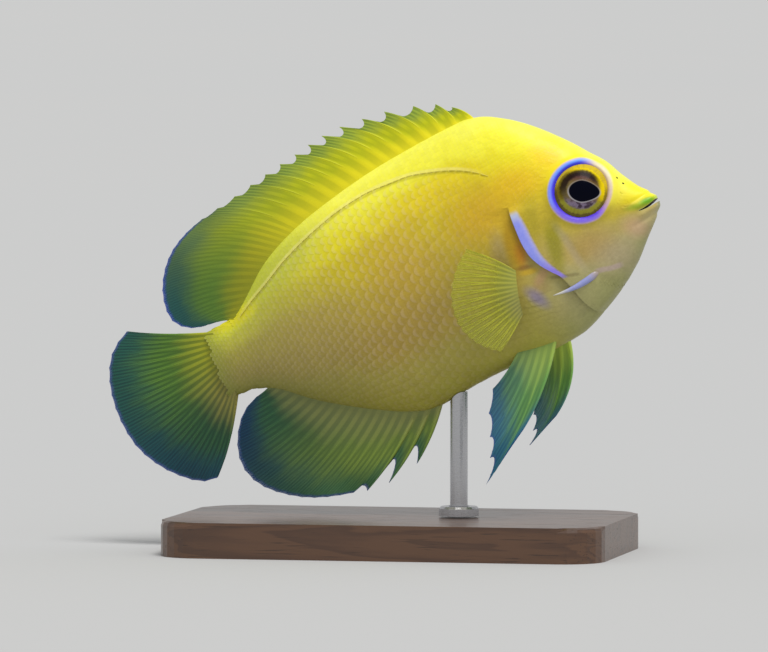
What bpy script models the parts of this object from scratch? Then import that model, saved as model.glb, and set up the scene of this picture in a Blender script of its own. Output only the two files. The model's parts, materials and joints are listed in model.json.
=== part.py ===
"""A life-size lemonpeel angelfish, swimming nose up, on a plain display stand.

The fish is drawn level in its own frame, in millimetres: snout at the origin, +X towards the nose,
+Z up and -Y on its right flank. One empty then sets the finished pieces at their pitch over the base.
"""

import bisect
import math

import bmesh
import bpy
from mathutils import Matrix, Vector

MM = 0.001

# Pose over the stand
PITCH = math.radians(21.6)
SNOUT_FORWARD = 44.0
SNOUT_HEIGHT = 59.5
BEND_START = -46.0
BEND_LENGTH = 54.0
BEND_AWAY = 3.6

# Clearance between touching pieces
GAP = 0.3
GAP_ALONG = 0.42

# Body outline in side view, as (x, z)
BACK_LINE = [(0.2, 0.8), (0.0, 1.6), (-0.5, 2.5), (-1.8, 3.8), (-4.0, 7.0), (-6.4, 10.5), (-8.8, 13.6),
             (-12.1, 17.1), (-15.5, 20.2), (-19.1, 22.7), (-22.9, 24.5), (-26.0, 25.0), (-29.2, 24.8),
             (-41.2, 23.4), (-54.9, 20.3), (-61.7, 18.0), (-67.2, 15.2), (-73.4, 10.1), (-76.1, 8.3),
             (-80.6, 7.7)]
BELLY_LINE = [(0.2, -0.2), (0.0, -0.9), (-0.5, -1.8), (-1.5, -2.9), (-3.4, -4.8), (-6.9, -8.4), (-13.7, -13.1),
              (-20.6, -16.1), (-27.0, -16.8), (-34.0, -16.9), (-39.8, -17.4), (-45.2, -18.3), (-48.5, -18.6),
              (-52.0, -17.9), (-56.6, -16.0),
              (-66.9, -10.4), (-74.6, -5.0), (-77.2, -4.3), (-80.6, -4.4)]
HALF_WIDTH = [(0.2, 1.35), (-0.5, 2.0), (-2.0, 2.7), (-5.0, 3.9), (-12.0, 6.0), (-20.0, 7.2), (-28.0, 7.6),
              (-38.0, 7.3), (-50.0, 6.1), (-62.0, 4.2), (-72.0, 2.5), (-80.6, 1.5)]
WIDEST_LEVEL = [(0.2, 0.3), (-5.0, 1.0), (-15.0, 1.8), (-28.0, 2.6), (-50.0, 3.0), (-70.0, 2.4), (-80.6, 1.7)]
BACK_FULLNESS = [(0.2, 2.2), (-12.0, 2.0), (-24.0, 1.75), (-40.0, 1.6), (-80.6, 1.8)]
BELLY_FULLNESS = [(0.2, 2.2), (-12.0, 2.1), (-30.0, 2.0), (-46.0, 1.9), (-80.6, 1.8)]
SNOUT_X = 0.2
STALK_X = -75.0
STALK_END_X = -80.6

# Rear edge of the gill cover and the seam above it, as (height share, x)
GILL_EDGE = [(-1.0, -14.8), (-0.95, -15.6), (-0.8, -16.8), (-0.63, -17.6), (-0.45, -18.6), (-0.36, -19.9),
             (-0.25, -21.4), (-0.14, -22.3), (0.0, -22.7), (0.2, -22.8), (0.33, -22.5), (0.6, -21.4),
             (1.0, -19.5)]
FLAP_RISE = 0.45
FLAP_REACH = 4.0
SHOULDER_DIP = 0.35
SHOULDER_REACH = 2.6
FLAP_TOP = 0.36
FLAP_FOOT = -0.92
FLAP_FADE = 0.1

# Eye and the rim of skin round it
EYE_X = -10.4
EYE_Z = 6.4
EYE_RADIUS = 5.4
EYE_DEPTH = 2.8
EYE_SUNK = 1.65
ORBIT_RADIUS = 5.15
ORBIT_RISE = 0.4
ORBIT_WIDTH = 0.75
EYE_SIDES = 24
EYE_ROWS = 12

# Mouth
GAPE_FRONT_Z = 0.35
GAPE_CORNER_X = -2.8
GAPE_CORNER_Z = -0.2
GAPE_OPEN = 0.5
GAPE_SHUT = 0.14
GAPE_CUT_FRONT_X = 2.0
GAPE_CUT_REACH = 5.0
LIP_RISE = 0.25
LIP_OFFSET = 0.75
LIP_WIDTH = 0.5
LIP_FADE_BEHIND = 1.0
LIP_FADE_AHEAD = 0.5

# Nostrils, a pair on each side, as (x, z)
NOSTRILS = [(-4.4, 6.3), (-3.7, 5.1)]
NOSTRIL_RADIUS = 0.27
NOSTRIL_DEPTH = 0.6
NOSTRIL_SIDES = 8

# Spine at the corner of the cheek
CHEEK_SPINE_ROOT = (-12.9, -7.0)
CHEEK_SPINE_TIP = (-21.1, -7.7)
CHEEK_SPINE_RADIUS = 0.72
CHEEK_SPINE_TAPER = 0.8
CHEEK_SPINE_TAPER_POWER = 1.5
CHEEK_SPINE_SUNK = 0.45
CHEEK_SPINE_LIFT = 0.85
CHEEK_SPINE_SIDES = 6
CHEEK_SPINE_STEPS = 5

# Fin thickness, as half values
RAY_HALF = 0.42
RAY_TIP_HALF = 0.22
WEB_HALF = 0.27
WEB_TIP_HALF = 0.18
ROOT_HALF = 0.7
SOFT_WEB_REACH = 0.98
RIPPLE = 0.35
RIPPLE_ALONG = 0.55
RIPPLE_UP = 0.21

# Back fin
DORSAL_RAYS = 16
DORSAL_FIRST_X = -24.7
DORSAL_LAST_SPINE_X = -60.0
DORSAL_END_X = -76.6
DORSAL_SPINE_TIPS = [(-26.9, 27.7), (-29.4, 29.2), (-33.1, 30.3), (-38.0, 31.2), (-42.2, 31.5), (-46.2, 31.6),
                     (-49.6, 31.3), (-52.5, 30.8), (-55.3, 30.1), (-58.2, 29.5), (-61.2, 28.8), (-64.4, 28.1),
                     (-67.7, 27.3), (-71.2, 26.5)]
DORSAL_MARGIN = [(-74.5, 25.8), (-78.1, 24.6), (-81.6, 22.6), (-84.2, 19.9), (-85.7, 17.0), (-86.3, 13.9),
                 (-85.9, 11.4), (-84.4, 9.8), (-82.2, 8.9), (-79.6, 8.7)]
DORSAL_SPINE_BOW = 0.22
DORSAL_RAY_BOW = 0.1
DORSAL_NOTCH_FRONT = 0.58
DORSAL_NOTCH_BACK = 0.9

# Fin behind the vent
ANAL_SPINE_ROOTS = [-47.6, -49.7, -51.8]
ANAL_SPINE_TIPS = [(-54.8, -26.2), (-60.4, -27.5), (-64.6, -27.4)]
ANAL_RAYS = 16
ANAL_FIRST_RAY_X = -53.4
ANAL_END_X = -74.4
ANAL_MARGIN = [(-67.0, -26.9), (-71.0, -26.1), (-75.4, -24.6), (-79.6, -22.0), (-82.4, -19.2), (-83.7, -16.0),
               (-83.5, -13.2), (-82.5, -10.6), (-80.9, -8.3), (-78.9, -6.6), (-77.0, -5.8)]
ANAL_BOW = -0.09
ANAL_NOTCHES = [0.5, 0.58, 0.9]

# Tail fin
TAIL_RAYS = 17
TAIL_ROOT_TOP_Z = 7.3
TAIL_ROOT_FOOT_Z = -4.1
TAIL_ROOT_HALF = 1.1
TAIL_MARGIN = [(-94.4, 12.8), (-97.2, 11.2), (-99.4, 8.6), (-100.9, 4.6), (-101.3, -0.4), (-100.3, -5.8),
               (-97.6, -10.5), (-94.3, -13.9), (-91.2, -15.8), (-88.5, -16.1)]
TAIL_BOW_TOP = -0.8
TAIL_BOW_FOOT = -1.8

# Breast fins
PECTORAL_ROOT_TOP = (-25.8, -2.3)
PECTORAL_ROOT_FOOT = (-27.7, -9.0)
PECTORAL_ROOT_HALF = 0.43
PECTORAL_SUNK = 1.2
PECTORAL_RAYS = 15
PECTORAL_RIGHT_TIPS = [(-30.0, 17.0, 4.0), (-32.2, 19.5, 1.7), (-34.1, 20.8, -1.5), (-35.3, 20.0, -5.0),
                       (-35.5, 17.5, -8.7), (-34.1, 14.5, -11.9), (-31.9, 11.5, -14.0)]
PECTORAL_LEFT_TIPS = [(-32.0, 16.0, 4.3), (-35.0, 17.6, 1.8), (-37.0, 18.2, -1.6), (-38.0, 17.4, -5.4),
                      (-37.6, 15.6, -9.2), (-35.6, 13.2, -12.4), (-32.8, 10.8, -14.4)]
PECTORAL_CAMBER = 1.2
PAD_X = -25.6
PAD_Z = -5.8
PAD_RISE = 0.7
PAD_LENGTH = 2.0
PAD_HEIGHT = 4.2

# Belly fins: the two ends of each root as (x, y outwards) and the ray tips as (x, y outwards, z)
BELLY_FIN_RIGHT_ROOT = [(-24.3, 2.1), (-30.7, 2.7)]
BELLY_FIN_LEFT_ROOT = [(-23.0, 2.4), (-29.8, 2.9)]
BELLY_FIN_SUNK = 1.2
BELLY_FIN_RIGHT_TIPS = [(-34.4, 6.2, -27.6), (-43.1, 8.4, -33.8), (-40.9, 8.2, -29.9), (-39.7, 7.5, -26.6),
                        (-38.6, 6.7, -22.8), (-36.8, 5.5, -19.3)]
BELLY_FIN_LEFT_TIPS = [(-30.6, 6.2, -27.1), (-37.3, 9.6, -30.1), (-36.2, 11.2, -28.0), (-35.3, 12.0, -25.5),
                       (-34.7, 12.0, -22.5), (-34.0, 10.6, -19.2)]
BELLY_FIN_REACHES = [0.95, 0.86, 0.9, 0.92, 0.94]
BELLY_FIN_RIGHT_BOW = 0.1
BELLY_FIN_LEFT_BOW = 0.24

# Stand
BASE_LENGTH = 76.0
BASE_WIDTH = 44.0
BASE_HEIGHT = 6.0
BASE_CORNER = 7.0
BASE_CORNER_STEPS = 6
BASE_BEVEL = 0.8
ROD_RADIUS = 1.5
ROD_SIDES = 20
ROD_FISH_X = -43.7
COLLAR_RADIUS = 3.4
COLLAR_HEIGHT = 1.6
COLLAR_BEVEL = 0.35

# Fineness of the body
HEAD_RINGS = 27
HEAD_AROUND = 28
TRUNK_RINGS = 22
TRUNK_AROUND = 24
STALK_RINGS = 3
STALK_AROUND = 12
HEAD_CROWDING = 1.35
SLOPE_STEP = 0.4
SHARP_ANGLE = math.radians(40)
CURVE_STEPS = 12
HALVINGS = 40
SPINE_ROWS = [0.0, 0.12, 0.4, 0.7, 1.0]
FAN_ROWS = [0.0, 0.12, 0.36, 0.6, 0.82, 1.0]


def clear_scene():
    """Remove whatever the file opened with."""
    for thing in list(bpy.data.objects):
        bpy.data.objects.remove(thing, do_unlink=True)


def curve_through(points):
    """A smooth function through (x, value) points that does not overshoot between them."""
    ordered = sorted(points)
    xs = [p[0] for p in ordered]
    values = [p[1] for p in ordered]
    steps = [b - a for a, b in zip(xs, xs[1:])]
    slopes = [(b - a) / step for a, b, step in zip(values, values[1:], steps)]
    tangents = [slopes[0]]
    for before, after in zip(slopes, slopes[1:]):
        turning = before * after <= 0
        tangents.append(0.0 if turning else 2 * before * after / (before + after))
    tangents.append(slopes[-1])

    def value(x):
        x = min(max(x, xs[0]), xs[-1])
        i = min(bisect.bisect_right(xs, x) - 1, len(xs) - 2)
        t = (x - xs[i]) / steps[i]
        start = values[i] * (1 + 2 * t) * (1 - t) ** 2 + tangents[i] * steps[i] * t * (1 - t) ** 2
        end = values[i + 1] * t * t * (3 - 2 * t) + tangents[i + 1] * steps[i] * t * t * (t - 1)
        return start + end

    return value


back_line = curve_through(BACK_LINE)
belly_line = curve_through(BELLY_LINE)
half_width = curve_through(HALF_WIDTH)
widest_level = curve_through(WIDEST_LEVEL)
back_fullness = curve_through(BACK_FULLNESS)
belly_fullness = curve_through(BELLY_FULLNESS)
gill_edge = curve_through(GILL_EDGE)


def section(x, lift):
    """Half width and height of the body at x, where lift runs from -1 at the belly to 1 at the back."""
    level = widest_level(x)
    reach = back_line(x) - level if lift >= 0 else level - belly_line(x)
    fullness = back_fullness(x) if lift >= 0 else belly_fullness(x)
    across = half_width(x) * max(0.0, 1 - abs(lift) ** fullness) ** (1 / fullness)
    return across, level + lift * reach


def lift_at(x, z):
    level = widest_level(x)
    reach = back_line(x) - level if z >= level else level - belly_line(x)
    return max(-1.0, min(1.0, (z - level) / reach))


def flank(x, z):
    """Half width of the bare body at a place in side view."""
    return section(x, lift_at(x, z))[0]


def flank_normal(x, z, side):
    slope_x = (flank(x + SLOPE_STEP, z) - flank(x - SLOPE_STEP, z)) / (2 * SLOPE_STEP)
    slope_z = (flank(x, z + SLOPE_STEP) - flank(x, z - SLOPE_STEP)) / (2 * SLOPE_STEP)
    return Vector((-slope_x, side, -slope_z)).normalized()


def bell(distance, width):
    return math.exp(-((distance / width) ** 2))


def smooth_step(low, high, value):
    t = min(max((value - low) / (high - low), 0.0), 1.0)
    return t * t * (3 - 2 * t)


def flap_window(lift):
    """1 along the free edge of the gill cover, 0 above and below it."""
    above = 1 - smooth_step(FLAP_TOP, FLAP_TOP + FLAP_FADE, lift)
    return above * smooth_step(FLAP_FOOT - FLAP_FADE, FLAP_FOOT, lift)


def gape_z(x):
    share = x / GAPE_CORNER_X
    return GAPE_FRONT_Z + (GAPE_CORNER_Z - GAPE_FRONT_Z) * share


def head_relief(x, z):
    """Raised rim of the orbit, the lips and the gill cover's edge."""
    lift = lift_at(x, z)
    rim = ORBIT_RISE * bell(math.hypot(x - EYE_X, z - EYE_Z) - ORBIT_RADIUS, ORBIT_WIDTH)
    flap = FLAP_RISE * bell(x - gill_edge(lift), FLAP_REACH) * flap_window(lift)
    at_mouth = smooth_step(GAPE_CORNER_X - LIP_FADE_BEHIND, GAPE_CORNER_X + LIP_FADE_AHEAD, x)
    lips = LIP_RISE * bell(abs(z - gape_z(x)) - LIP_OFFSET, LIP_WIDTH) * at_mouth
    return rim + flap + lips


def trunk_relief(x, z):
    """The dip that the gill cover closes over, and the pad that carries the breast fin."""
    lift = lift_at(x, z)
    dip = SHOULDER_DIP * bell(x - gill_edge(lift), SHOULDER_REACH) * flap_window(lift)
    pad = PAD_RISE * bell(x - PAD_X, PAD_LENGTH) * bell(z - PAD_Z, PAD_HEIGHT)
    return pad - dip


def no_relief(x, z):
    return 0.0


def bend(x):
    """Sideways sweep of the rear half, away from the right flank."""
    return BEND_AWAY * (max(0.0, BEND_START - x) / BEND_LENGTH) ** 2


def plain_material(name, colour, roughness, metallic=0.0):
    material = bpy.data.materials.new(name)
    material.use_nodes = True
    shader = material.node_tree.nodes["Principled BSDF"]
    shader.inputs["Base Color"].default_value = (*colour, 1.0)
    shader.inputs["Roughness"].default_value = roughness
    shader.inputs["Metallic"].default_value = metallic
    return material


def object_from(bm, name, material, bent=True):
    """A smooth-shaded object from a mesh drawn in millimetres, swept sideways with the body."""
    bmesh.ops.recalc_face_normals(bm, faces=bm.faces)
    for vertex in bm.verts:
        if bent:
            vertex.co.y += bend(vertex.co.x)
        vertex.co *= MM
    mesh = bpy.data.meshes.new(name)
    bm.to_mesh(mesh)
    bm.free()
    mesh.shade_smooth()
    mesh.set_sharp_from_angle(angle=SHARP_ANGLE)
    made = bpy.data.objects.new(name, mesh)
    bpy.context.scene.collection.objects.link(made)
    if material is not None:
        made.data.materials.append(material)
    return made


def cap_ring(bm, ring, around):
    """Close a body ring with flat strips that run from flank to flank."""
    bm.faces.new((ring[0], ring[1], ring[-1]))
    for k in range(1, around - 1):
        bm.faces.new((ring[k], ring[k + 1], ring[2 * around - k - 1], ring[2 * around - k]))
    bm.faces.new((ring[around - 1], ring[around], ring[around + 1]))


def body_length(front_x, rear_x, ring_shares, around, relief, grow=0.0):
    """A closed length of the body between two edges, each given as x at a height share."""
    bm = bmesh.new()
    rings = []
    for share in ring_shares:
        ring = []
        for k in range(2 * around):
            angle = math.pi * (k / around - 0.5)
            lift = math.sin(angle)
            side = -1 if math.cos(angle) > 0 else 1
            x = front_x(lift) + (rear_x(lift) - front_x(lift)) * share
            across, z = section(x, lift)
            ring.append(bm.verts.new((x, side * across, z)))
        rings.append(ring)
    for ring, following in zip(rings, rings[1:]):
        for k in range(2 * around):
            after = (k + 1) % (2 * around)
            bm.faces.new((ring[k], ring[after], following[after], following[k]))
    bm.normal_update()
    for vertex in bm.verts:
        vertex.co += vertex.normal * (relief(vertex.co.x, vertex.co.z) + grow)
    cap_ring(bm, rings[0], around)
    cap_ring(bm, rings[-1], around)
    return bm


def shares(count, crowding=1.0):
    """Places of rings from 0 to 1, crowded towards the start."""
    return [(i / count) ** crowding for i in range(count + 1)]


def ellipsoid(name, centre, axis, radius, depth, material=None):
    """A round flattened ball whose short axis points along axis."""
    bm = bmesh.new()
    bmesh.ops.create_uvsphere(bm, u_segments=EYE_SIDES, v_segments=EYE_ROWS, radius=1.0)
    turn = axis.to_track_quat("Z", "Y").to_matrix().to_4x4()
    stretch = Matrix.Diagonal((radius, radius, depth, 1.0))
    bmesh.ops.transform(bm, matrix=Matrix.Translation(centre) @ turn @ stretch, verts=bm.verts)
    return object_from(bm, name, material)


def mark_helper(thing):
    thing.hide_render = True
    thing.display_type = "WIRE"


def apply_boolean(target, helpers, operation):
    """Join or cut the target with closed helpers, then remove them."""
    group = bpy.data.collections.new(target.name + "_helpers")
    bpy.context.scene.collection.children.link(group)
    for helper in helpers:
        mark_helper(helper)
        bpy.context.scene.collection.objects.unlink(helper)
        group.objects.link(helper)
    step = target.modifiers.new("join_or_cut", "BOOLEAN")
    step.operand_type = "COLLECTION"
    step.collection = group
    step.operation = operation
    step.solver = "EXACT"
    graph = bpy.context.evaluated_depsgraph_get()
    result = bpy.data.meshes.new_from_object(target.evaluated_get(graph))
    target.modifiers.clear()
    target.data = result
    for helper in helpers:
        bpy.data.objects.remove(helper, do_unlink=True)
    bpy.data.collections.remove(group)
    keep_largest_surface(target)


def keep_largest_surface(target):
    """Drop any loose scrap that a cut leaves behind."""
    bm = bmesh.new()
    bm.from_mesh(target.data)
    left = set(bm.faces)
    islands = []
    while left:
        island = [left.pop()]
        for face in island:
            for edge in face.edges:
                for other in edge.link_faces:
                    if other in left:
                        left.remove(other)
                        island.append(other)
        islands.append(island)
    islands.sort(key=lambda island: sum(face.calc_area() for face in island))
    for island in islands[:-1]:
        bmesh.ops.delete(bm, geom=island, context="FACES")
    bm.to_mesh(target.data)
    bm.free()


def eye_place(side):
    """Centre and outward axis of an eye."""
    axis = flank_normal(EYE_X, EYE_Z, side)
    surface = Vector((EYE_X, side * flank(EYE_X, EYE_Z), EYE_Z))
    return surface - axis * EYE_SUNK, axis


def make_eye(name, side, material):
    centre, axis = eye_place(side)
    return ellipsoid(name, centre, axis, EYE_RADIUS - GAP, EYE_DEPTH - GAP, material)


def eye_socket(side):
    centre, axis = eye_place(side)
    return ellipsoid("eye_socket", centre, axis, EYE_RADIUS, EYE_DEPTH)


def gape_cutter():
    """A thin wedge, widest at the front of the jaws and closed at their corner."""
    front_z = gape_z(GAPE_CUT_FRONT_X)
    profile = [(GAPE_CORNER_X, GAPE_CORNER_Z - GAPE_SHUT / 2), (GAPE_CUT_FRONT_X, front_z - GAPE_OPEN / 2),
               (GAPE_CUT_FRONT_X, front_z + GAPE_OPEN / 2), (GAPE_CORNER_X, GAPE_CORNER_Z + GAPE_SHUT / 2)]
    bm = bmesh.new()
    near = [bm.verts.new((x, -GAPE_CUT_REACH, z)) for x, z in profile]
    far = [bm.verts.new((x, GAPE_CUT_REACH, z)) for x, z in profile]
    bm.faces.new(near)
    bm.faces.new(far)
    for k in range(4):
        bm.faces.new((near[k], near[(k + 1) % 4], far[(k + 1) % 4], far[k]))
    return object_from(bm, "gape_cutter", None)


def nostril_cutter(x, z, side):
    axis = flank_normal(x, z, side)
    centre = Vector((x, side * flank(x, z), z))
    bm = bmesh.new()
    bmesh.ops.create_cone(bm, cap_ends=True, segments=NOSTRIL_SIDES, radius1=NOSTRIL_RADIUS,
                          radius2=NOSTRIL_RADIUS, depth=2 * NOSTRIL_DEPTH)
    turn = axis.to_track_quat("Z", "Y").to_matrix().to_4x4()
    bmesh.ops.transform(bm, matrix=Matrix.Translation(centre) @ turn, verts=bm.verts)
    return object_from(bm, "nostril_cutter", None)


def tapered_spine(name, centres, radii, sides):
    """A closed pointed rod through the given centres."""
    bm = bmesh.new()
    rings = []
    along = (centres[-1] - centres[0]).normalized()
    first = along.cross(Vector((0, 1, 0))).normalized()
    second = along.cross(first)
    for centre, radius in zip(centres, radii):
        ring = []
        for k in range(sides):
            angle = 2 * math.pi * k / sides
            ring.append(bm.verts.new(centre + radius * (first * math.cos(angle) + second * math.sin(angle))))
        rings.append(ring)
    for ring, following in zip(rings, rings[1:]):
        for k in range(sides):
            bm.faces.new((ring[k], ring[(k + 1) % sides], following[(k + 1) % sides], following[k]))
    bm.faces.new(rings[0])
    bm.faces.new(rings[-1])
    return object_from(bm, name, None)


def cheek_spine(side):
    """The long spine that points back from the corner of the cheek."""
    centres = []
    radii = []
    for i in range(CHEEK_SPINE_STEPS + 1):
        t = i / CHEEK_SPINE_STEPS
        x = CHEEK_SPINE_ROOT[0] + (CHEEK_SPINE_TIP[0] - CHEEK_SPINE_ROOT[0]) * t
        z = CHEEK_SPINE_ROOT[1] + (CHEEK_SPINE_TIP[1] - CHEEK_SPINE_ROOT[1]) * t
        out = -CHEEK_SPINE_SUNK + (CHEEK_SPINE_LIFT + CHEEK_SPINE_SUNK + FLAP_RISE) * t
        centres.append(Vector((x, side * flank(x, z), z)) + flank_normal(x, z, side) * out)
        radii.append(CHEEK_SPINE_RADIUS * (1 - CHEEK_SPINE_TAPER * t ** CHEEK_SPINE_TAPER_POWER))
    return tapered_spine("cheek_spine", centres, radii, CHEEK_SPINE_SIDES)


def make_head(material):
    """Head with open orbits, mouth line, nostrils, raised gill cover edge and cheek spines."""
    ring_shares = shares(HEAD_RINGS, HEAD_CROWDING)
    bm = body_length(lambda lift: SNOUT_X, gill_edge, ring_shares, HEAD_AROUND, head_relief)
    head = object_from(bm, "head", material)
    apply_boolean(head, [cheek_spine(-1), cheek_spine(1)], "UNION")
    cutters = [eye_socket(-1), eye_socket(1), gape_cutter()]
    for side in (-1, 1):
        for x, z in NOSTRILS:
            cutters.append(nostril_cutter(x, z, side))
    apply_boolean(head, cutters, "DIFFERENCE")
    return head


def trunk_front(lift):
    return gill_edge(lift) - GAP_ALONG


def make_trunk(material):
    bm = body_length(trunk_front, lambda lift: STALK_X, shares(TRUNK_RINGS), TRUNK_AROUND, trunk_relief)
    return object_from(bm, "trunk", material)


def make_tail_stalk(material):
    front = STALK_X - GAP
    bm = body_length(lambda lift: front, lambda lift: STALK_END_X, shares(STALK_RINGS), STALK_AROUND, no_relief)
    return object_from(bm, "tail_stalk", material)


def points_along(points, count):
    """Evenly spaced points on a smooth curve through the given ones."""
    padded = [points[0]] + list(points) + [points[-1]]
    track = []
    for i in range(1, len(padded) - 2):
        a, b, c, d = (Vector(p) for p in padded[i - 1:i + 3])
        for k in range(CURVE_STEPS):
            t = k / CURVE_STEPS
            track.append(0.5 * (2 * b + (c - a) * t + (2 * a - 5 * b + 4 * c - d) * t ** 2
                                + (3 * b - a - 3 * c + d) * t ** 3))
    track.append(Vector(points[-1]))
    lengths = [0.0]
    for before, after in zip(track, track[1:]):
        lengths.append(lengths[-1] + (after - before).length)
    chosen = []
    for i in range(count):
        target = lengths[-1] * i / (count - 1)
        k = min(bisect.bisect_right(lengths, target) - 1, len(track) - 2)
        t = (target - lengths[k]) / (lengths[k + 1] - lengths[k])
        chosen.append(track[k].lerp(track[k + 1], t))
    return chosen


class Ray:
    """One spine or soft ray: a bowed line from its root to its tip."""

    def __init__(self, root, tip, bow):
        self.root = Vector(root)
        self.tip = Vector(tip)
        self.middle = (self.root + self.tip) / 2 + Vector(bow)

    def at(self, t):
        return self.root * (1 - t) ** 2 + self.middle * 2 * t * (1 - t) + self.tip * t * t


def fin_sheet(name, rays, reaches, rows, root_half, material, webs=2, ripple=0.0):
    """A closed fin whose rays stand as ridges on a thinner web.

    reaches gives, for each gap between rays, the share of the ray that the web covers.
    """
    columns = []
    halves = []
    for i, ray in enumerate(rays):
        columns.append([ray.at(t) for t in rows])
        halves.append([RAY_HALF + (RAY_TIP_HALF - RAY_HALF) * t for t in rows])
        if i + 1 == len(rays):
            break
        for k in range(webs):
            share = (k + 1) / (webs + 1)
            column = [ray.at(t * reaches[i]).lerp(rays[i + 1].at(t * reaches[i]), share) for t in rows]
            columns.append(column)
            halves.append([WEB_HALF + (WEB_TIP_HALF - WEB_HALF) * t for t in rows])
    for column, half in zip(columns, halves):
        half[0] = root_half
        for row, t in enumerate(rows):
            wave = math.sin(column[row].x * RIPPLE_ALONG) * math.cos(column[row].z * RIPPLE_UP)
            column[row].y += ripple * wave * t * t
    return object_from(thick_sheet(columns, halves), name, material)


def thick_sheet(columns, halves):
    """Two faces, split into triangles alike, either side of a grid of centre points."""
    flat = bmesh.new()
    grid = [[flat.verts.new(point) for point in column] for column in columns]
    cells = []
    for i in range(len(columns) - 1):
        for j in range(len(columns[0]) - 1):
            cells.append(((i, j), (i + 1, j), (i + 1, j + 1)))
            cells.append(((i, j), (i + 1, j + 1), (i, j + 1)))
    for cell in cells:
        flat.faces.new([grid[i][j] for i, j in cell])
    flat.normal_update()
    bm = bmesh.new()
    sides = []
    for sign in (1, -1):
        sheet = []
        for column, half in zip(grid, halves):
            sheet.append([bm.verts.new(v.co + v.normal * sign * h) for v, h in zip(column, half)])
        sides.append(sheet)
    flat.free()
    over, under = sides
    for cell in cells:
        bm.faces.new([over[i][j] for i, j in cell])
        bm.faces.new([under[i][j] for i, j in reversed(cell)])
    last_column = len(columns) - 1
    last_row = len(columns[0]) - 1
    rim = [(i, 0) for i in range(last_column)]
    rim += [(last_column, j) for j in range(last_row)]
    rim += [(i, last_row) for i in range(last_column, 0, -1)]
    rim += [(0, j) for j in range(last_row, 0, -1)]
    for k, (i, j) in enumerate(rim):
        m, n = rim[(k + 1) % len(rim)]
        bm.faces.new((under[i][j], under[m][n], over[m][n], over[i][j]))
    return bm


def flat_point(pair):
    return (pair[0], 0.0, pair[1])


def make_dorsal_fin(material):
    """Fourteen spines with free tips, then sixteen soft rays in a rounded lobe."""
    spines = len(DORSAL_SPINE_TIPS)
    tips = [Vector(flat_point(p)) for p in DORSAL_SPINE_TIPS]
    tips += points_along([flat_point(p) for p in DORSAL_MARGIN], DORSAL_RAYS)
    spine_step = (DORSAL_LAST_SPINE_X - DORSAL_FIRST_X) / (spines - 1)
    roots = [DORSAL_FIRST_X + spine_step * i for i in range(spines)]
    ray_step = (DORSAL_END_X - DORSAL_LAST_SPINE_X) / DORSAL_RAYS
    roots += [DORSAL_LAST_SPINE_X + ray_step * (i + 1) for i in range(DORSAL_RAYS)]
    rays = []
    for i, (x, tip) in enumerate(zip(roots, tips)):
        bow = DORSAL_SPINE_BOW + (DORSAL_RAY_BOW - DORSAL_SPINE_BOW) * i / (len(tips) - 1)
        root = Vector((x, 0.0, back_line(x) + GAP))
        along = tip - root
        rays.append(Ray(root, tip, Vector((along.z, 0.0, -along.x)) * bow))
    reaches = []
    for i in range(len(rays) - 1):
        share = min(1.0, i / (spines - 1))
        notch = DORSAL_NOTCH_FRONT + (DORSAL_NOTCH_BACK - DORSAL_NOTCH_FRONT) * share
        reaches.append(notch if i < spines else SOFT_WEB_REACH)
    return fin_sheet("dorsal_fin", rays, reaches, SPINE_ROWS, ROOT_HALF, material, ripple=RIPPLE)


def make_anal_fin(material):
    """Three free-tipped spines, then sixteen soft rays in a rounded lobe."""
    tips = [Vector(flat_point(p)) for p in ANAL_SPINE_TIPS]
    tips += points_along([flat_point(p) for p in ANAL_MARGIN], ANAL_RAYS)
    step = (ANAL_END_X - ANAL_FIRST_RAY_X) / (ANAL_RAYS - 1)
    roots = ANAL_SPINE_ROOTS + [ANAL_FIRST_RAY_X + step * i for i in range(ANAL_RAYS)]
    rays = []
    for x, tip in zip(roots, tips):
        root = Vector((x, 0.0, belly_line(x) - GAP))
        along = tip - root
        rays.append(Ray(root, tip, Vector((along.z, 0.0, -along.x)) * ANAL_BOW))
    reaches = ANAL_NOTCHES + [SOFT_WEB_REACH] * (ANAL_RAYS - 1)
    return fin_sheet("anal_fin", rays, reaches, SPINE_ROWS, ROOT_HALF, material, ripple=RIPPLE)


def make_tail_fin(material):
    """Seventeen rays that fan from the end of the stalk to a rounded edge."""
    tips = points_along([flat_point(p) for p in TAIL_MARGIN], TAIL_RAYS)
    rays = []
    for i, tip in enumerate(tips):
        share = i / (TAIL_RAYS - 1)
        z = TAIL_ROOT_TOP_Z + (TAIL_ROOT_FOOT_Z - TAIL_ROOT_TOP_Z) * share
        root = Vector((STALK_END_X - GAP, 0.0, z))
        rays.append(Ray(root, tip, (0.0, 0.0, TAIL_BOW_TOP + (TAIL_BOW_FOOT - TAIL_BOW_TOP) * share)))
    reaches = [SOFT_WEB_REACH] * (TAIL_RAYS - 1)
    return fin_sheet("tail_fin", rays, reaches, FAN_ROWS, TAIL_ROOT_HALF, material, ripple=RIPPLE)


def trunk_guard():
    """The trunk grown by the gap, for cutting the roots of the paired fins to its surface."""
    bm = body_length(trunk_front, lambda lift: STALK_X, shares(TRUNK_RINGS), TRUNK_AROUND, trunk_relief, GAP)
    return object_from(bm, "trunk_guard", None)


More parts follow.
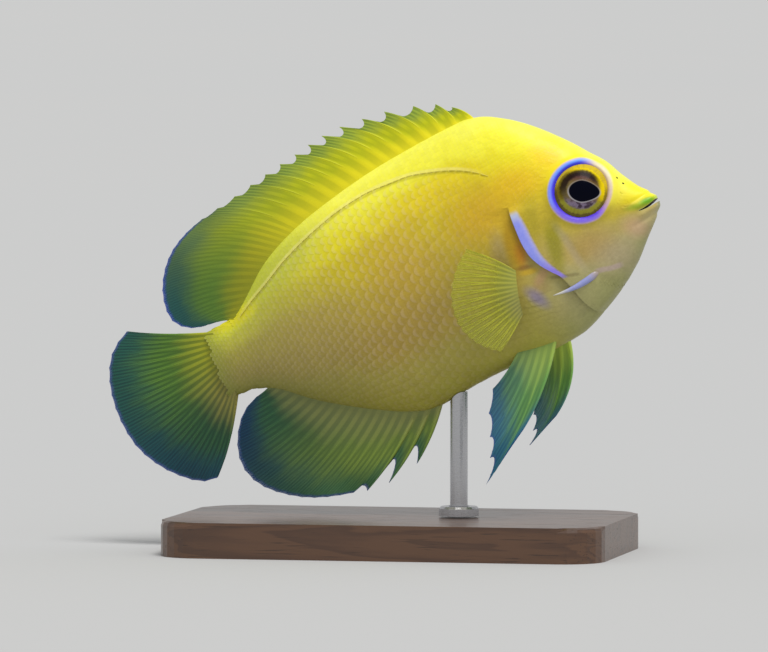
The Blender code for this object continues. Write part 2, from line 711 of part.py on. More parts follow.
def make_pectoral_fin(name, side, tips, material):
    """A fan that stands out from the flank, its root cut to the pad behind the gill cover."""
    top = Vector(flat_point(PECTORAL_ROOT_TOP))
    foot = Vector(flat_point(PECTORAL_ROOT_FOOT))
    ends = points_along([(x, side * out, z) for x, out, z in tips], PECTORAL_RAYS)
    rays = []
    for i, tip in enumerate(ends):
        place = top.lerp(foot, i / (PECTORAL_RAYS - 1))
        place.y = side * (flank(place.x, place.z) + trunk_relief(place.x, place.z))
        backward = Vector((tip.x - place.x, tip.y - place.y, 0.0)).normalized()
        hollow = Vector((abs(backward.y), side * abs(backward.x), 0.0))
        rays.append(Ray(place - backward * PECTORAL_SUNK, tip, hollow * PECTORAL_CAMBER))
    reaches = [SOFT_WEB_REACH] * (PECTORAL_RAYS - 1)
    fin = fin_sheet(name, rays, reaches, FAN_ROWS, PECTORAL_ROOT_HALF, material, webs=1)
    apply_boolean(fin, [trunk_guard()], "DIFFERENCE")
    return fin


def make_pelvic_fin(name, side, root, tips, bow, material):
    """One strong spine and five rays; the first ray ends in a thread."""
    front, back = [Vector((x, side * out, 0.0)) for x, out in root]
    rays = []
    for i, (x, out, z) in enumerate(tips):
        place = front.lerp(back, i / (len(tips) - 1))
        level = widest_level(place.x)
        spread = abs(place.y) / half_width(place.x)
        fullness = belly_fullness(place.x)
        drop = (1 - spread ** fullness) ** (1 / fullness)
        place.z = level - drop * (level - belly_line(place.x)) + BELLY_FIN_SUNK
        tip = Vector((x, side * out, z))
        along = tip - place
        rays.append(Ray(place, tip, Vector((-along.z, 0.0, along.x)) * bow))
    fin = fin_sheet(name, rays, BELLY_FIN_REACHES, FAN_ROWS, RAY_HALF, material)
    apply_boolean(fin, [trunk_guard()], "DIFFERENCE")
    return fin


def to_stand(x, z):
    """Place over the stand of a point on the fish's midline, in millimetres."""
    ahead = SNOUT_FORWARD + x * math.cos(PITCH) - z * math.sin(PITCH)
    height = SNOUT_HEIGHT + x * math.sin(PITCH) + z * math.cos(PITCH)
    return ahead, height


def belly_height(ahead, across):
    """Height over the floor of the belly above a place beside the rod, by halving."""
    low = BASE_HEIGHT
    high = to_stand(ROD_FISH_X, widest_level(ROD_FISH_X))[1]
    for _ in range(HALVINGS):
        height = (low + high) / 2
        x = (ahead - SNOUT_FORWARD) * math.cos(PITCH) + (height - SNOUT_HEIGHT) * math.sin(PITCH)
        z = (height - SNOUT_HEIGHT) * math.cos(PITCH) - (ahead - SNOUT_FORWARD) * math.sin(PITCH)
        inside = belly_line(x) < z and abs(across) < flank(x, z)
        if inside:
            high = height
        else:
            low = height
    return low


def make_stand_base(material):
    """A low block with round corners and a bevelled top edge."""
    bm = bmesh.new()
    outline = []
    for quarter in range(4):
        for k in range(BASE_CORNER_STEPS + 1):
            angle = math.pi / 2 * (quarter + k / BASE_CORNER_STEPS)
            centre_x = (BASE_LENGTH / 2 - BASE_CORNER) * (1 if quarter in (0, 3) else -1)
            centre_y = (BASE_WIDTH / 2 - BASE_CORNER) * (1 if quarter in (0, 1) else -1)
            outline.append((centre_x + BASE_CORNER * math.cos(angle), centre_y + BASE_CORNER * math.sin(angle)))
    foot = [bm.verts.new((x, y, 0.0)) for x, y in outline]
    brim = [bm.verts.new((x, y, BASE_HEIGHT)) for x, y in outline]
    count = len(outline)
    bm.faces.new(list(reversed(foot)))
    bm.faces.new(brim)
    for k in range(count):
        bm.faces.new((foot[k], foot[(k + 1) % count], brim[(k + 1) % count], brim[k]))
    top_edges = [bm.edges.get((brim[k], brim[(k + 1) % count])) for k in range(count)]
    bmesh.ops.bevel(bm, geom=top_edges, offset=BASE_BEVEL, segments=2, profile=0.5, affect="EDGES")
    return object_from(bm, "stand_base", material, bent=False)


def ring_of(bm, centre_x, radius, heights):
    ring = []
    for k in range(ROD_SIDES):
        angle = 2 * math.pi * k / ROD_SIDES
        ring.append(bm.verts.new((centre_x + radius * math.cos(angle), radius * math.sin(angle), heights(k))))
    return ring


def bridge(bm, ring, following):
    count = len(ring)
    for k in range(count):
        bm.faces.new((ring[k], ring[(k + 1) % count], following[(k + 1) % count], following[k]))


def make_stand_rod(material):
    """A straight rod whose top is cut to the slope of the belly."""
    centre_x = to_stand(ROD_FISH_X, belly_line(ROD_FISH_X))[0]
    heights = []
    for k in range(ROD_SIDES):
        angle = 2 * math.pi * k / ROD_SIDES
        ahead = centre_x + ROD_RADIUS * math.cos(angle)
        heights.append(belly_height(ahead, ROD_RADIUS * math.sin(angle)) - GAP)
    bm = bmesh.new()
    foot = ring_of(bm, centre_x, ROD_RADIUS, lambda k: BASE_HEIGHT + GAP)
    top = ring_of(bm, centre_x, ROD_RADIUS, lambda k: heights[k])
    bridge(bm, foot, top)
    bm.faces.new(foot)
    middle = bm.verts.new((centre_x, 0.0, belly_height(centre_x, 0.0) - GAP))
    for k in range(ROD_SIDES):
        bm.faces.new((top[k], top[(k + 1) % ROD_SIDES], middle))
    return object_from(bm, "stand_rod", material, bent=False)


def make_stand_collar(material):
    """A small ring that seats the rod on the base."""
    centre_x = to_stand(ROD_FISH_X, belly_line(ROD_FISH_X))[0]
    low = BASE_HEIGHT + GAP
    high = low + COLLAR_HEIGHT
    profile = [(ROD_RADIUS + GAP, low), (COLLAR_RADIUS, low), (COLLAR_RADIUS, high - COLLAR_BEVEL),
               (COLLAR_RADIUS - COLLAR_BEVEL, high), (ROD_RADIUS + GAP, high)]
    bm = bmesh.new()
    rings = [ring_of(bm, centre_x, radius, lambda k, height=height: height) for radius, height in profile]
    for ring, following in zip(rings, rings[1:] + rings[:1]):
        bridge(bm, ring, following)
    return object_from(bm, "stand_collar", material, bent=False)


def main():
    clear_scene()
    head_skin = plain_material("head_skin", (0.95, 0.82, 0.08), 0.45)
    trunk_skin = plain_material("trunk_skin", (0.82, 0.66, 0.10), 0.5)
    stalk_skin = plain_material("stalk_skin", (0.62, 0.56, 0.14), 0.5)
    eye_surface = plain_material("eye", (0.16, 0.11, 0.02), 0.15)
    dorsal_surface = plain_material("dorsal_membrane", (0.42, 0.48, 0.04), 0.5)
    anal_surface = plain_material("anal_membrane", (0.16, 0.26, 0.07), 0.5)
    tail_surface = plain_material("tail_membrane", (0.17, 0.28, 0.07), 0.5)
    pectoral_surface = plain_material("pectoral_membrane", (0.66, 0.62, 0.16), 0.5)
    pelvic_surface = plain_material("pelvic_membrane", (0.40, 0.50, 0.10), 0.5)
    dark_wood = plain_material("dark_wood", (0.09, 0.045, 0.022), 0.4)
    steel = plain_material("steel", (0.62, 0.62, 0.63), 0.28, 1.0)

    fish = bpy.data.objects.new("fish_pose", None)
    bpy.context.scene.collection.objects.link(fish)
    fish.location = Vector((SNOUT_FORWARD, 0.0, SNOUT_HEIGHT)) * MM
    fish.rotation_euler = (0.0, -PITCH, 0.0)
    pieces = [
        make_head(head_skin),
        make_trunk(trunk_skin),
        make_tail_stalk(stalk_skin),
        make_eye("eye_right", -1, eye_surface),
        make_eye("eye_left", 1, eye_surface),
        make_dorsal_fin(dorsal_surface),
        make_anal_fin(anal_surface),
        make_tail_fin(tail_surface),
        make_pectoral_fin("pectoral_fin_right", -1, PECTORAL_RIGHT_TIPS, pectoral_surface),
        make_pectoral_fin("pectoral_fin_left", 1, PECTORAL_LEFT_TIPS, pectoral_surface),
        make_pelvic_fin("pelvic_fin_right", -1, BELLY_FIN_RIGHT_ROOT, BELLY_FIN_RIGHT_TIPS,
                        BELLY_FIN_RIGHT_BOW, pelvic_surface),
        make_pelvic_fin("pelvic_fin_left", 1, BELLY_FIN_LEFT_ROOT, BELLY_FIN_LEFT_TIPS,
                        BELLY_FIN_LEFT_BOW, pelvic_surface),
    ]
    for piece in pieces:
        piece.parent = fish
    make_stand_base(dark_wood)
    make_stand_rod(steel)
    make_stand_collar(steel)


main()
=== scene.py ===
"""Looks of a life-size lemonpeel angelfish, swimming nose up, on a plain display stand.

The fish is worked out level, in millimetres, in its own frame: snout at the origin, +X towards the nose,
+Z up and -Y on its right flank. on_stand() then carries every point to its place over the base, in metres.
"""

import bisect
import json
import math
import random

import bmesh
import bpy
import numpy as np
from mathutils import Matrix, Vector

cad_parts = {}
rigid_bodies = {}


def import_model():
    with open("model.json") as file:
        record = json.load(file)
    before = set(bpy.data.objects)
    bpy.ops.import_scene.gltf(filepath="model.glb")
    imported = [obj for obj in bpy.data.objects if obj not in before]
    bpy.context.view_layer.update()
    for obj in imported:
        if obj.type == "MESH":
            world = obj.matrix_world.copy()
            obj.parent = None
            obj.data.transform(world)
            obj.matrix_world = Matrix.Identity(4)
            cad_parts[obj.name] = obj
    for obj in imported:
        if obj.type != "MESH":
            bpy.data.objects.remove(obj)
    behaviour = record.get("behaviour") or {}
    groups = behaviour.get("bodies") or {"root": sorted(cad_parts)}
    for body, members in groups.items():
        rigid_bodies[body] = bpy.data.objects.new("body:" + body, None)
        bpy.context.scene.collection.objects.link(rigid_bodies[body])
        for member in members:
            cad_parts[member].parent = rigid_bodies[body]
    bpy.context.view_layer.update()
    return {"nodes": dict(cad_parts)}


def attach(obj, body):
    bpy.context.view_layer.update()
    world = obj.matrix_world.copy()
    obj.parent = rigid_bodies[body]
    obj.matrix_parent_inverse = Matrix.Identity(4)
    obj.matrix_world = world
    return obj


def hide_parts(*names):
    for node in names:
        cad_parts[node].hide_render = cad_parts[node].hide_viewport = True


MM = 0.001

# Pose over the stand
PITCH = math.radians(21.6)
SNOUT_FORWARD = 44.0
SNOUT_HEIGHT = 59.5
BEND_START = -46.0
BEND_LENGTH = 54.0
BEND_AWAY = 3.6
GAP = 0.3

# Body outline in side view, as (x, z)
BACK_LINE = [(0.2, 0.8), (0.0, 1.6), (-0.5, 2.5), (-1.8, 3.8), (-4.0, 7.0), (-6.4, 10.5), (-8.8, 13.6),
             (-12.1, 17.1), (-15.5, 20.2), (-19.1, 22.7), (-22.9, 24.5), (-26.0, 25.0), (-29.2, 24.8),
             (-41.2, 23.4), (-54.9, 20.3), (-61.7, 18.0), (-67.2, 15.2), (-73.4, 10.1), (-76.1, 8.3),
             (-80.6, 7.7)]
BELLY_LINE = [(0.2, -0.2), (0.0, -0.9), (-0.5, -1.8), (-1.5, -2.9), (-3.4, -4.8), (-6.9, -8.4),
              (-13.7, -13.1), (-20.6, -16.1), (-27.0, -16.8), (-34.0, -16.9), (-39.8, -17.4), (-45.2, -18.3),
              (-48.5, -18.6),
              (-52.0, -17.9), (-56.6, -16.0), (-66.9, -10.4), (-74.6, -5.0), (-77.2, -4.3), (-80.6, -4.4)]
HALF_WIDTH = [(0.2, 1.35), (-0.5, 2.0), (-2.0, 2.7), (-5.0, 3.9), (-12.0, 6.0), (-20.0, 7.2), (-28.0, 7.6),
              (-38.0, 7.3), (-50.0, 6.1), (-62.0, 4.2), (-72.0, 2.5), (-80.6, 1.5)]
WIDEST_LEVEL = [(0.2, 0.3), (-5.0, 1.0), (-15.0, 1.8), (-28.0, 2.6), (-50.0, 3.0), (-70.0, 2.4), (-80.6, 1.7)]
BACK_FULLNESS = [(0.2, 2.2), (-12.0, 2.0), (-24.0, 1.75), (-40.0, 1.6), (-80.6, 1.8)]
BELLY_FULLNESS = [(0.2, 2.2), (-12.0, 2.1), (-30.0, 2.0), (-46.0, 1.9), (-80.6, 1.8)]
SNOUT_X = 0.2
STALK_END_X = -80.6

# Rear edge of the gill cover and the seam above it, as (height share, x)
GILL_EDGE = [(-1.0, -14.8), (-0.95, -15.6), (-0.8, -16.8), (-0.63, -17.6), (-0.45, -18.6), (-0.36, -19.9),
             (-0.25, -21.4), (-0.14, -22.3), (0.0, -22.7), (0.2, -22.8), (0.33, -22.5), (0.6, -21.4),
             (1.0, -19.5)]
FLAP_RISE = 0.45
FLAP_REACH = 4.0
SHOULDER_DIP = 0.35
SHOULDER_REACH = 2.6
FLAP_TOP = 0.2
FLAP_FOOT = -0.92
FLAP_FADE = 0.08

# Eye, the rim of skin round it and the mouth
EYE_X = -10.4
EYE_Z = 6.4
EYE_RADIUS = 5.4
EYE_DEPTH = 2.8
EYE_SUNK = 1.65
ORBIT_RADIUS = 5.15
ORBIT_RISE = 0.4
ORBIT_WIDTH = 0.75
GAPE_FRONT_Z = 0.35
GAPE_CORNER_X = -2.8
GAPE_CORNER_Z = -0.2
GAPE_OPEN = 0.62
GAPE_SHUT = 0.1
LIP_RISE = 0.25
LIP_OFFSET = 0.75
LIP_WIDTH = 0.5
NOSTRILS = [(-4.4, 6.3), (-3.7, 5.1)]
NOSTRIL_RADIUS = 0.16
NOSTRIL_DEPTHS = (-0.7, 0.6)
NOSTRIL_SIDES = 14

# The mouth's cut, the clear dome over the pupil, and the relief of the head
MOUTH_STEPS = 8
MOUTH_HALF_WIDTH = 5.0
MOUTH_REACH_X = 2.0
MOUTH_OPENS_BY = 1.6
MOUTH_SAG = 0.12
EYE_SIDES = 72
EYE_ROWS = 40
DOME_RISE = 0.3
DOME_AHEAD = 0.6
DOME_WIDTH = 2.4
SOCKET_DEPTH = 1.3
SOCKET_EDGE = (3.8, 4.55)
FOLD_DEPTH = 0.16
GROOVE_DEPTH = 0.07
RIDGE_RISE = 0.05

# Spine at the corner of the cheek
CHEEK_SPINE_ROOT = (-12.4, -7.3)
CHEEK_SPINE_TIP = (-20.9, -8.0)
CHEEK_SPINE_RADIUS = 0.72
CHEEK_SPINE_SUNK = 0.45
CHEEK_SPINE_LIFT = 0.85

# Breast-fin pad
PAD_X = -25.6
PAD_Z = -5.8
PAD_RISE = 0.7
PAD_LENGTH = 2.0
PAD_HEIGHT = 4.2

# Fins
RIPPLE = 0.35
RIPPLE_ALONG = 0.55
RIPPLE_UP = 0.21
DORSAL_RAYS = 16
DORSAL_FIRST_X = -24.7
DORSAL_LAST_SPINE_X = -60.0
DORSAL_END_X = -76.6
DORSAL_SPINE_TIPS = [(-26.9, 27.7), (-29.4, 29.2), (-33.1, 30.3), (-38.0, 31.2), (-42.2, 31.5), (-46.2, 31.6),
                     (-49.6, 31.3), (-52.5, 30.8), (-55.3, 30.1), (-58.2, 29.5), (-61.2, 28.8), (-64.4, 28.1),
                     (-67.7, 27.3), (-71.2, 26.5)]
DORSAL_MARGIN = [(-74.5, 25.8), (-78.1, 24.6), (-81.6, 22.6), (-84.2, 19.9), (-85.7, 17.0), (-86.3, 13.9),
                 (-85.9, 11.4), (-84.4, 9.8), (-82.2, 8.9), (-79.6, 8.7)]
DORSAL_SPINE_BOW = 0.22
DORSAL_RAY_BOW = 0.1
DORSAL_NOTCH_FRONT = 0.6
DORSAL_NOTCH_BACK = 0.97
ANAL_SPINE_ROOTS = [-47.6, -49.7, -51.8]
ANAL_SPINE_TIPS = [(-54.8, -26.2), (-60.4, -27.5), (-64.6, -27.4)]
ANAL_RAYS = 16
ANAL_FIRST_RAY_X = -53.4
ANAL_END_X = -74.4
ANAL_MARGIN = [(-67.0, -26.9), (-71.0, -26.1), (-75.4, -24.6), (-79.6, -22.0), (-82.4, -19.2), (-83.7, -16.0),
               (-83.5, -13.2), (-82.5, -10.6), (-80.9, -8.3), (-78.9, -6.6), (-77.0, -5.8)]
ANAL_BOW = -0.09
ANAL_NOTCHES = [0.5, 0.58, 0.9]
TAIL_RAYS = 17
TAIL_ROOT_TOP_Z = 7.3
TAIL_ROOT_FOOT_Z = -4.1
TAIL_MARGIN = [(-94.4, 12.8), (-97.2, 11.2), (-99.4, 8.6), (-100.9, 4.6), (-101.3, -0.4), (-100.3, -5.8),
               (-97.6, -10.5), (-94.3, -13.9), (-91.2, -15.8), (-88.5, -16.1)]
TAIL_BOW_TOP = -0.8
TAIL_BOW_FOOT = -1.8
PECTORAL_ROOT_TOP = (-25.8, -2.3)
PECTORAL_ROOT_FOOT = (-27.7, -9.0)
PECTORAL_SUNK = 1.2
PECTORAL_RAYS = 15
PECTORAL_RIGHT_TIPS = [(-30.0, 17.0, 4.0), (-32.2, 19.5, 1.7), (-34.1, 20.8, -1.5), (-35.3, 20.0, -5.0),
                       (-35.5, 17.5, -8.7), (-34.1, 14.5, -11.9), (-31.9, 11.5, -14.0)]
PECTORAL_LEFT_TIPS = [(-32.0, 16.0, 4.3), (-35.0, 17.6, 1.8), (-37.0, 18.2, -1.6), (-38.0, 17.4, -5.4),
                      (-37.6, 15.6, -9.2), (-35.6, 13.2, -12.4), (-32.8, 10.8, -14.4)]
PECTORAL_CAMBER = 1.2
BELLY_FIN_RIGHT_ROOT = [(-24.3, 2.1), (-30.7, 2.7)]
BELLY_FIN_LEFT_ROOT = [(-23.0, 2.4), (-29.8, 2.9)]
BELLY_FIN_RIGHT_TIPS = [(-34.4, 6.2, -27.6), (-43.1, 8.4, -33.8), (-40.9, 8.2, -29.9), (-39.7, 7.5, -26.6),
                        (-38.6, 6.7, -22.8), (-36.8, 5.5, -19.3)]
BELLY_FIN_LEFT_TIPS = [(-30.6, 6.2, -27.1), (-37.3, 9.6, -30.1), (-36.2, 11.2, -28.0), (-35.3, 12.0, -25.5),
                       (-34.7, 12.0, -22.5), (-34.0, 10.6, -19.2)]
BELLY_FIN_REACHES = [0.96, 0.92, 0.94, 0.95, 0.96]
BELLY_FIN_RIGHT_BOW = 0.1
BELLY_FIN_LEFT_BOW = 0.24

# Skin and scales
SKIN_DEPTH = 0.1
HEAD_RINGS = 96
TRUNK_RINGS = 130
SKIN_AROUND = 104
HEAD_CROWDING = 1.25
# Rings that close the snout, as (share of its section, how far ahead)
SNOUT_CLOSING = [(0.25, 0.3), (0.6, 0.24), (0.86, 0.13)]
# Rings that tuck the skin in under the gill cover's edge, as (how far ahead, share of the height)
SLIT_TUCK = [(0.02, 0.75), (0.5, 0.45), (0.55, 0.15), (0.1, 0.0)]
SCALE_PATCH = 0.003

# Side line, as (x, z)
SIDE_LINE = [(-20.2, 9.5), (-23.8, 14.0), (-28.3, 16.9), (-33.2, 18.5), (-38.4, 19.4), (-43.9, 19.4),
             (-49.8, 18.6), (-56.0, 16.8), (-62.7, 14.1), (-67.5, 11.5), (-71.7, 9.3), (-75.2, 7.2)]

TUBES_FROM_X = -24.2
TUBES_TO_X = -74.0
TUBE_STEPS = 4
TUBE_LENGTH = 1.05
TUBE_SPACING = 1.25

# Front edge of the smooth gill band and the line behind the cheek, as (z, x)
BAND_FRONT = [(-6.6, -17.4), (-5.6, -18.1), (-3.9, -19.2), (-1.5, -20.3), (0.7, -20.7), (2.6, -20.9),
              (4.4, -21.1), (6.4, -21.4), (7.6, -21.7)]
BAND_FOOT = -6.0
BAND_TOP = 7.0
CHEEK_LINE = [(-6.6, -14.4), (-3.8, -15.0), (-0.9, -15.5), (1.7, -16.1), (3.5, -16.6), (5.5, -17.6)]

# Scales: distance between their columns along the body, as (x, millimetres)
FLANK_STEP = [(-80.4, 0.56), (-74.0, 0.78), (-66.0, 0.94), (-57.0, 1.16), (-49.0, 1.4), (-38.0, 1.42),
              (-30.0, 1.12), (-24.0, 0.82), (-16.0, 0.6)]
BACK_STEP = [(-80.4, 0.54), (-74.0, 0.7), (-66.0, 0.8), (-52.0, 0.9), (-38.0, 0.86), (-27.0, 0.72),
             (-18.0, 0.55), (-6.0, 0.42)]
CHEEK_STEP = [(-24.0, 0.46), (-3.0, 0.4)]
# How strongly the pale crescents show along the flank
CRESCENT = [(-80.0, 0.45), (-64.0, 0.7), (-48.0, 1.0), (-38.0, 0.95), (-31.0, 0.55), (-25.0, 0.2),
            (-16.0, 0.1)]
BACK_CRESCENT = 0.25
CHEEK_CRESCENT = 0.1
# Outlines of the plates from root to round edge, as (share of the length, half width)
BROAD_PLATE = [(0.0, 0.3), (0.36, 0.46), (0.68, 0.5), (0.88, 0.41), (1.0, 0.24)]
SMALL_PLATE = [(0.0, 0.36), (0.45, 0.5), (0.8, 0.46), (1.0, 0.27)]
# Scale zones, as name: (column steps, foremost x, rearmost x, lift of the round edge)
SCALE_ZONES = {
    "flank": (FLANK_STEP, -12.0, -80.2, 0.021),
    "back": (BACK_STEP, -3.0, -80.2, 0.015),
    "cheek": (CHEEK_STEP, -2.6, -24.0, 0.008),
}
ROW_SHARE = 1.42
ROW_CROWDING = 0.14
COLUMN_LEAN = 0.14
PLATE_LENGTH = 2.4
PLATE_WIDTH = 1.16
COLUMN_MARGIN = 6.0
HALF_GIRTH = 34
SCALE_JITTER = 0.03
TABLE_STEP = 0.5
HEAD_FROM_X = -24.0
FULL_STEP = 1.42
ROOT_LIFT = 0.012


# Fins: screen colours at root, middle and edge in front and at the rear, and of the rim; radii of spines and
# rays; where the rim starts up the fin and along it; strength and lift of the rays; Alpha at root and margin
FIN_TONES = ("Front Root", "Front Middle", "Front Edge", "Rear Root", "Rear Middle", "Rear Edge", "Rim")
FIN_LOOKS = {
    "dorsal": {"tones": ((232, 220, 16), (200, 204, 8), (150, 172, 60), (142, 144, 22), (86, 122, 42),
                         (26, 80, 78), (28, 72, 170)),
               "spine": 0.22, "soft": 0.18, "rim": 0.95, "rim_from": 0.5, "tint": 0.26, "ray_lift": 0.1,
               "columns": 10, "root": 0.7, "clear_web": None, "clear_rays": None},
    "anal": {"tones": ((138, 146, 84), (114, 138, 58), (62, 104, 66), (118, 126, 74), (38, 82, 54),
                       (0, 52, 82), (18, 66, 130)),
             "spine": 0.4, "soft": 0.2, "rim": 0.95, "rim_from": -1.0, "tint": 0.45, "ray_lift": 1.0,
             "columns": 6, "root": 0.7, "clear_web": None, "clear_rays": None},
    "tail": {"tones": ((154, 158, 34), (80, 118, 42), (28, 82, 74), (128, 124, 60), (34, 76, 50),
                       (10, 62, 78), (60, 84, 160)),
             "spine": 0.3, "soft": 0.24, "rim": 0.96, "rim_from": -1.0, "tint": 0.7, "ray_lift": 1.0,
             "columns": 6, "root": 0.7, "clear_web": None, "clear_rays": None},
    "pectoral": {"tones": ((176, 178, 84), (186, 188, 60), (180, 180, 56), (158, 156, 88), (174, 176, 58),
                           (168, 170, 60), (168, 170, 62)),
                 "spine": 0.2, "soft": 0.15, "rim": 0.99, "rim_from": -1.0, "tint": 0.4, "ray_lift": 1.0,
                 "columns": 6, "root": 0.4, "clear_web": (0.9, 0.32), "clear_rays": (0.95, 0.6)},
    "pelvic": {"tones": ((140, 166, 78), (86, 134, 72), (30, 92, 120), (118, 144, 80), (70, 112, 84),
                         (44, 92, 118), (24, 72, 150)),
               "spine": 0.36, "soft": 0.2, "rim": 0.96, "rim_from": -1.0, "tint": 0.4, "ray_lift": 1.0,
               "columns": 14, "root": 0.4, "clear_web": None, "clear_rays": None},
}
# Painted light: how much lighter the left belly fin, which lies in shade, is painted
PAINTED_LIGHT_ON_SHADED_FIN = 2.4
RAY_TIP_RADIUS = 0.1
RAY_STEPS = 14
FIRST_FORK = 0.14
SECOND_FORK = 0.09
BRANCH_END = 0.99
WEB_ROWS = 26
WEB_HALF = (0.14, 0.06)


# Curves and the shape of the body

def curve_through(points):
    """A smooth function through (x, value) points that does not overshoot, for numbers and arrays."""
    ordered = sorted(points)
    xs = [p[0] for p in ordered]
    values = [p[1] for p in ordered]
    steps = [b - a for a, b in zip(xs, xs[1:])]
    slopes = [(b - a) / step for a, b, step in zip(values, values[1:], steps)]
    tangents = [slopes[0]]
    for before, after in zip(slopes, slopes[1:]):
        turning = before * after <= 0
        tangents.append(0.0 if turning else 2 * before * after / (before + after))
    tangents.append(slopes[-1])
    fine = np.linspace(xs[0], xs[-1], 1600)
    table = []
    for x in fine:
        i = min(bisect.bisect_right(xs, x) - 1, len(xs) - 2)
        t = (x - xs[i]) / steps[i]
        start = values[i] * (1 + 2 * t) * (1 - t) ** 2 + tangents[i] * steps[i] * t * (1 - t) ** 2
        end = values[i + 1] * t * t * (3 - 2 * t) + tangents[i + 1] * steps[i] * t * t * (t - 1)
        table.append(start + end)
    return lambda x: np.interp(x, fine, table)


back_line = curve_through(BACK_LINE)
belly_line = curve_through(BELLY_LINE)
half_width = curve_through(HALF_WIDTH)
widest_level = curve_through(WIDEST_LEVEL)
back_fullness = curve_through(BACK_FULLNESS)
belly_fullness = curve_through(BELLY_FULLNESS)
gill_edge = curve_through(GILL_EDGE)
side_line = curve_through(SIDE_LINE)
band_front = curve_through(BAND_FRONT)


def smooth_step(low, high, value):
    t = np.clip((value - low) / (high - low), 0.0, 1.0)
    return t * t * (3 - 2 * t)


def bell(distance, width):
    return np.exp(-((distance / width) ** 2))


def section(x, lift):
    """Half width and height of the body, where lift runs from -1 at the belly to 1 at the back."""
    level = widest_level(x)
    upper = lift >= 0
    reach = np.where(upper, back_line(x) - level, level - belly_line(x))
    fullness = np.where(upper, back_fullness(x), belly_fullness(x))
    across = half_width(x) * np.maximum(0.0, 1 - np.abs(lift) ** fullness) ** (1 / fullness)
    return across, level + lift * reach


def lift_at(x, z):
    level = widest_level(x)
    reach = np.where(z >= level, back_line(x) - level, level - belly_line(x))
    return np.clip((z - level) / reach, -1.0, 1.0)


def bare(x, angle):
    """Points of the smooth body; the angle is 0 on the right flank, a right angle on the back."""
    across, z = section(x, np.sin(angle))
    return np.stack([x + 0 * z, -np.sign(np.cos(angle)) * across, z], axis=-1)


def bare_normal(x, angle):
    e = 0.02
    a = 0.004
    along = bare(x + e, angle) - bare(x - e, angle)
    round_it = bare(x, angle + a) - bare(x, angle - a)
    normal = np.cross(along, round_it)
    return normal / np.linalg.norm(normal, axis=-1, keepdims=True)


def flap_window(lift):
    """1 along the free edge of the gill cover, 0 above and below it."""
    above = 1 - smooth_step(FLAP_TOP, FLAP_TOP + FLAP_FADE, lift)
    return above * smooth_step(FLAP_FOOT - FLAP_FADE, FLAP_FOOT, lift)


def gape_z(x):
    return GAPE_FRONT_Z + (GAPE_CORNER_Z - GAPE_FRONT_Z) * x / GAPE_CORNER_X


cheek_groove = curve_through([(-13.0, -7.0), (-11.0, -9.4), (-9.0, -11.6), (-7.2, -13.0), (-5.0, -13.9),
                              (-2.0, -14.8), (2.0, -15.9), (6.0, -16.8), (9.0, -17.2)])


def head_relief(x, z):
    """Raised rim of the orbit, lips, the cheek's groove and the gill cover's edge."""
    lift = lift_at(x, z)
    from_eye = np.hypot(x - EYE_X, z - EYE_Z)
    rim = ORBIT_RISE * bell(from_eye - ORBIT_RADIUS, ORBIT_WIDTH)
    under_eye = -SOCKET_DEPTH * (1 - smooth_step(*SOCKET_EDGE, from_eye))
    flap = FLAP_RISE * bell(x - gill_edge(lift), FLAP_REACH) * flap_window(lift)
    at_mouth = smooth_step(GAPE_CORNER_X - 1.0, GAPE_CORNER_X + 0.5, x)
    lips = LIP_RISE * bell(np.abs(z - gape_z(x)) - LIP_OFFSET, LIP_WIDTH) * at_mouth
    fold = FOLD_DEPTH * bell(np.abs(z - gape_z(x)) - 1.9, 0.35) * smooth_step(-5.5, -2.5, x)
    low = smooth_step(-13.5, -11.0, z) * (1 - smooth_step(3.0, 6.0, z))
    groove = -GROOVE_DEPTH * bell(x - cheek_groove(z) + 0.5, 0.8) * low
    ridge = RIDGE_RISE * bell(x - cheek_groove(z) - 0.9, 1.2) * low
    return rim + under_eye + flap + lips - fold + groove + ridge


def trunk_relief(x, z):
    """The dip that the gill cover closes over, and the pad that carries the breast fin."""
    lift = lift_at(x, z)
    dip = SHOULDER_DIP * bell(x - gill_edge(lift), SHOULDER_REACH) * flap_window(lift)
    pad = PAD_RISE * bell(x - PAD_X, PAD_LENGTH) * bell(z - PAD_Z, PAD_HEIGHT)
    return pad - dip


def relief(x, z):
    on_head = x >= gill_edge(lift_at(x, z))
    return np.where(on_head, head_relief(x, z), trunk_relief(x, z))


def swept(points):
    """The tail swung a little away from the viewer."""
    x, y, z = points[..., 0], points[..., 1], points[..., 2]
    return np.stack([x, y + BEND_AWAY * (np.maximum(0.0, BEND_START - x) / BEND_LENGTH) ** 2, z], axis=-1)


def on_stand(points):
    """Level fish points in millimetres, swept with the body and set over the base, in metres."""
    points = swept(np.asarray(points, float))
    x, y, z = points[..., 0], points[..., 1], points[..., 2]
    ahead = SNOUT_FORWARD + x * math.cos(PITCH) - z * math.sin(PITCH)
    height = SNOUT_HEIGHT + x * math.sin(PITCH) + z * math.cos(PITCH)
    return np.stack([ahead, y, height], axis=-1) * MM


def turned(vectors):
    """Directions of the level fish, turned with its pitch."""
    x, y, z = vectors[..., 0], vectors[..., 1], vectors[..., 2]
    ahead = x * math.cos(PITCH) - z * math.sin(PITCH)
    height = x * math.sin(PITCH) + z * math.cos(PITCH)
    return np.stack([ahead, y, height], axis=-1)


# Node trees

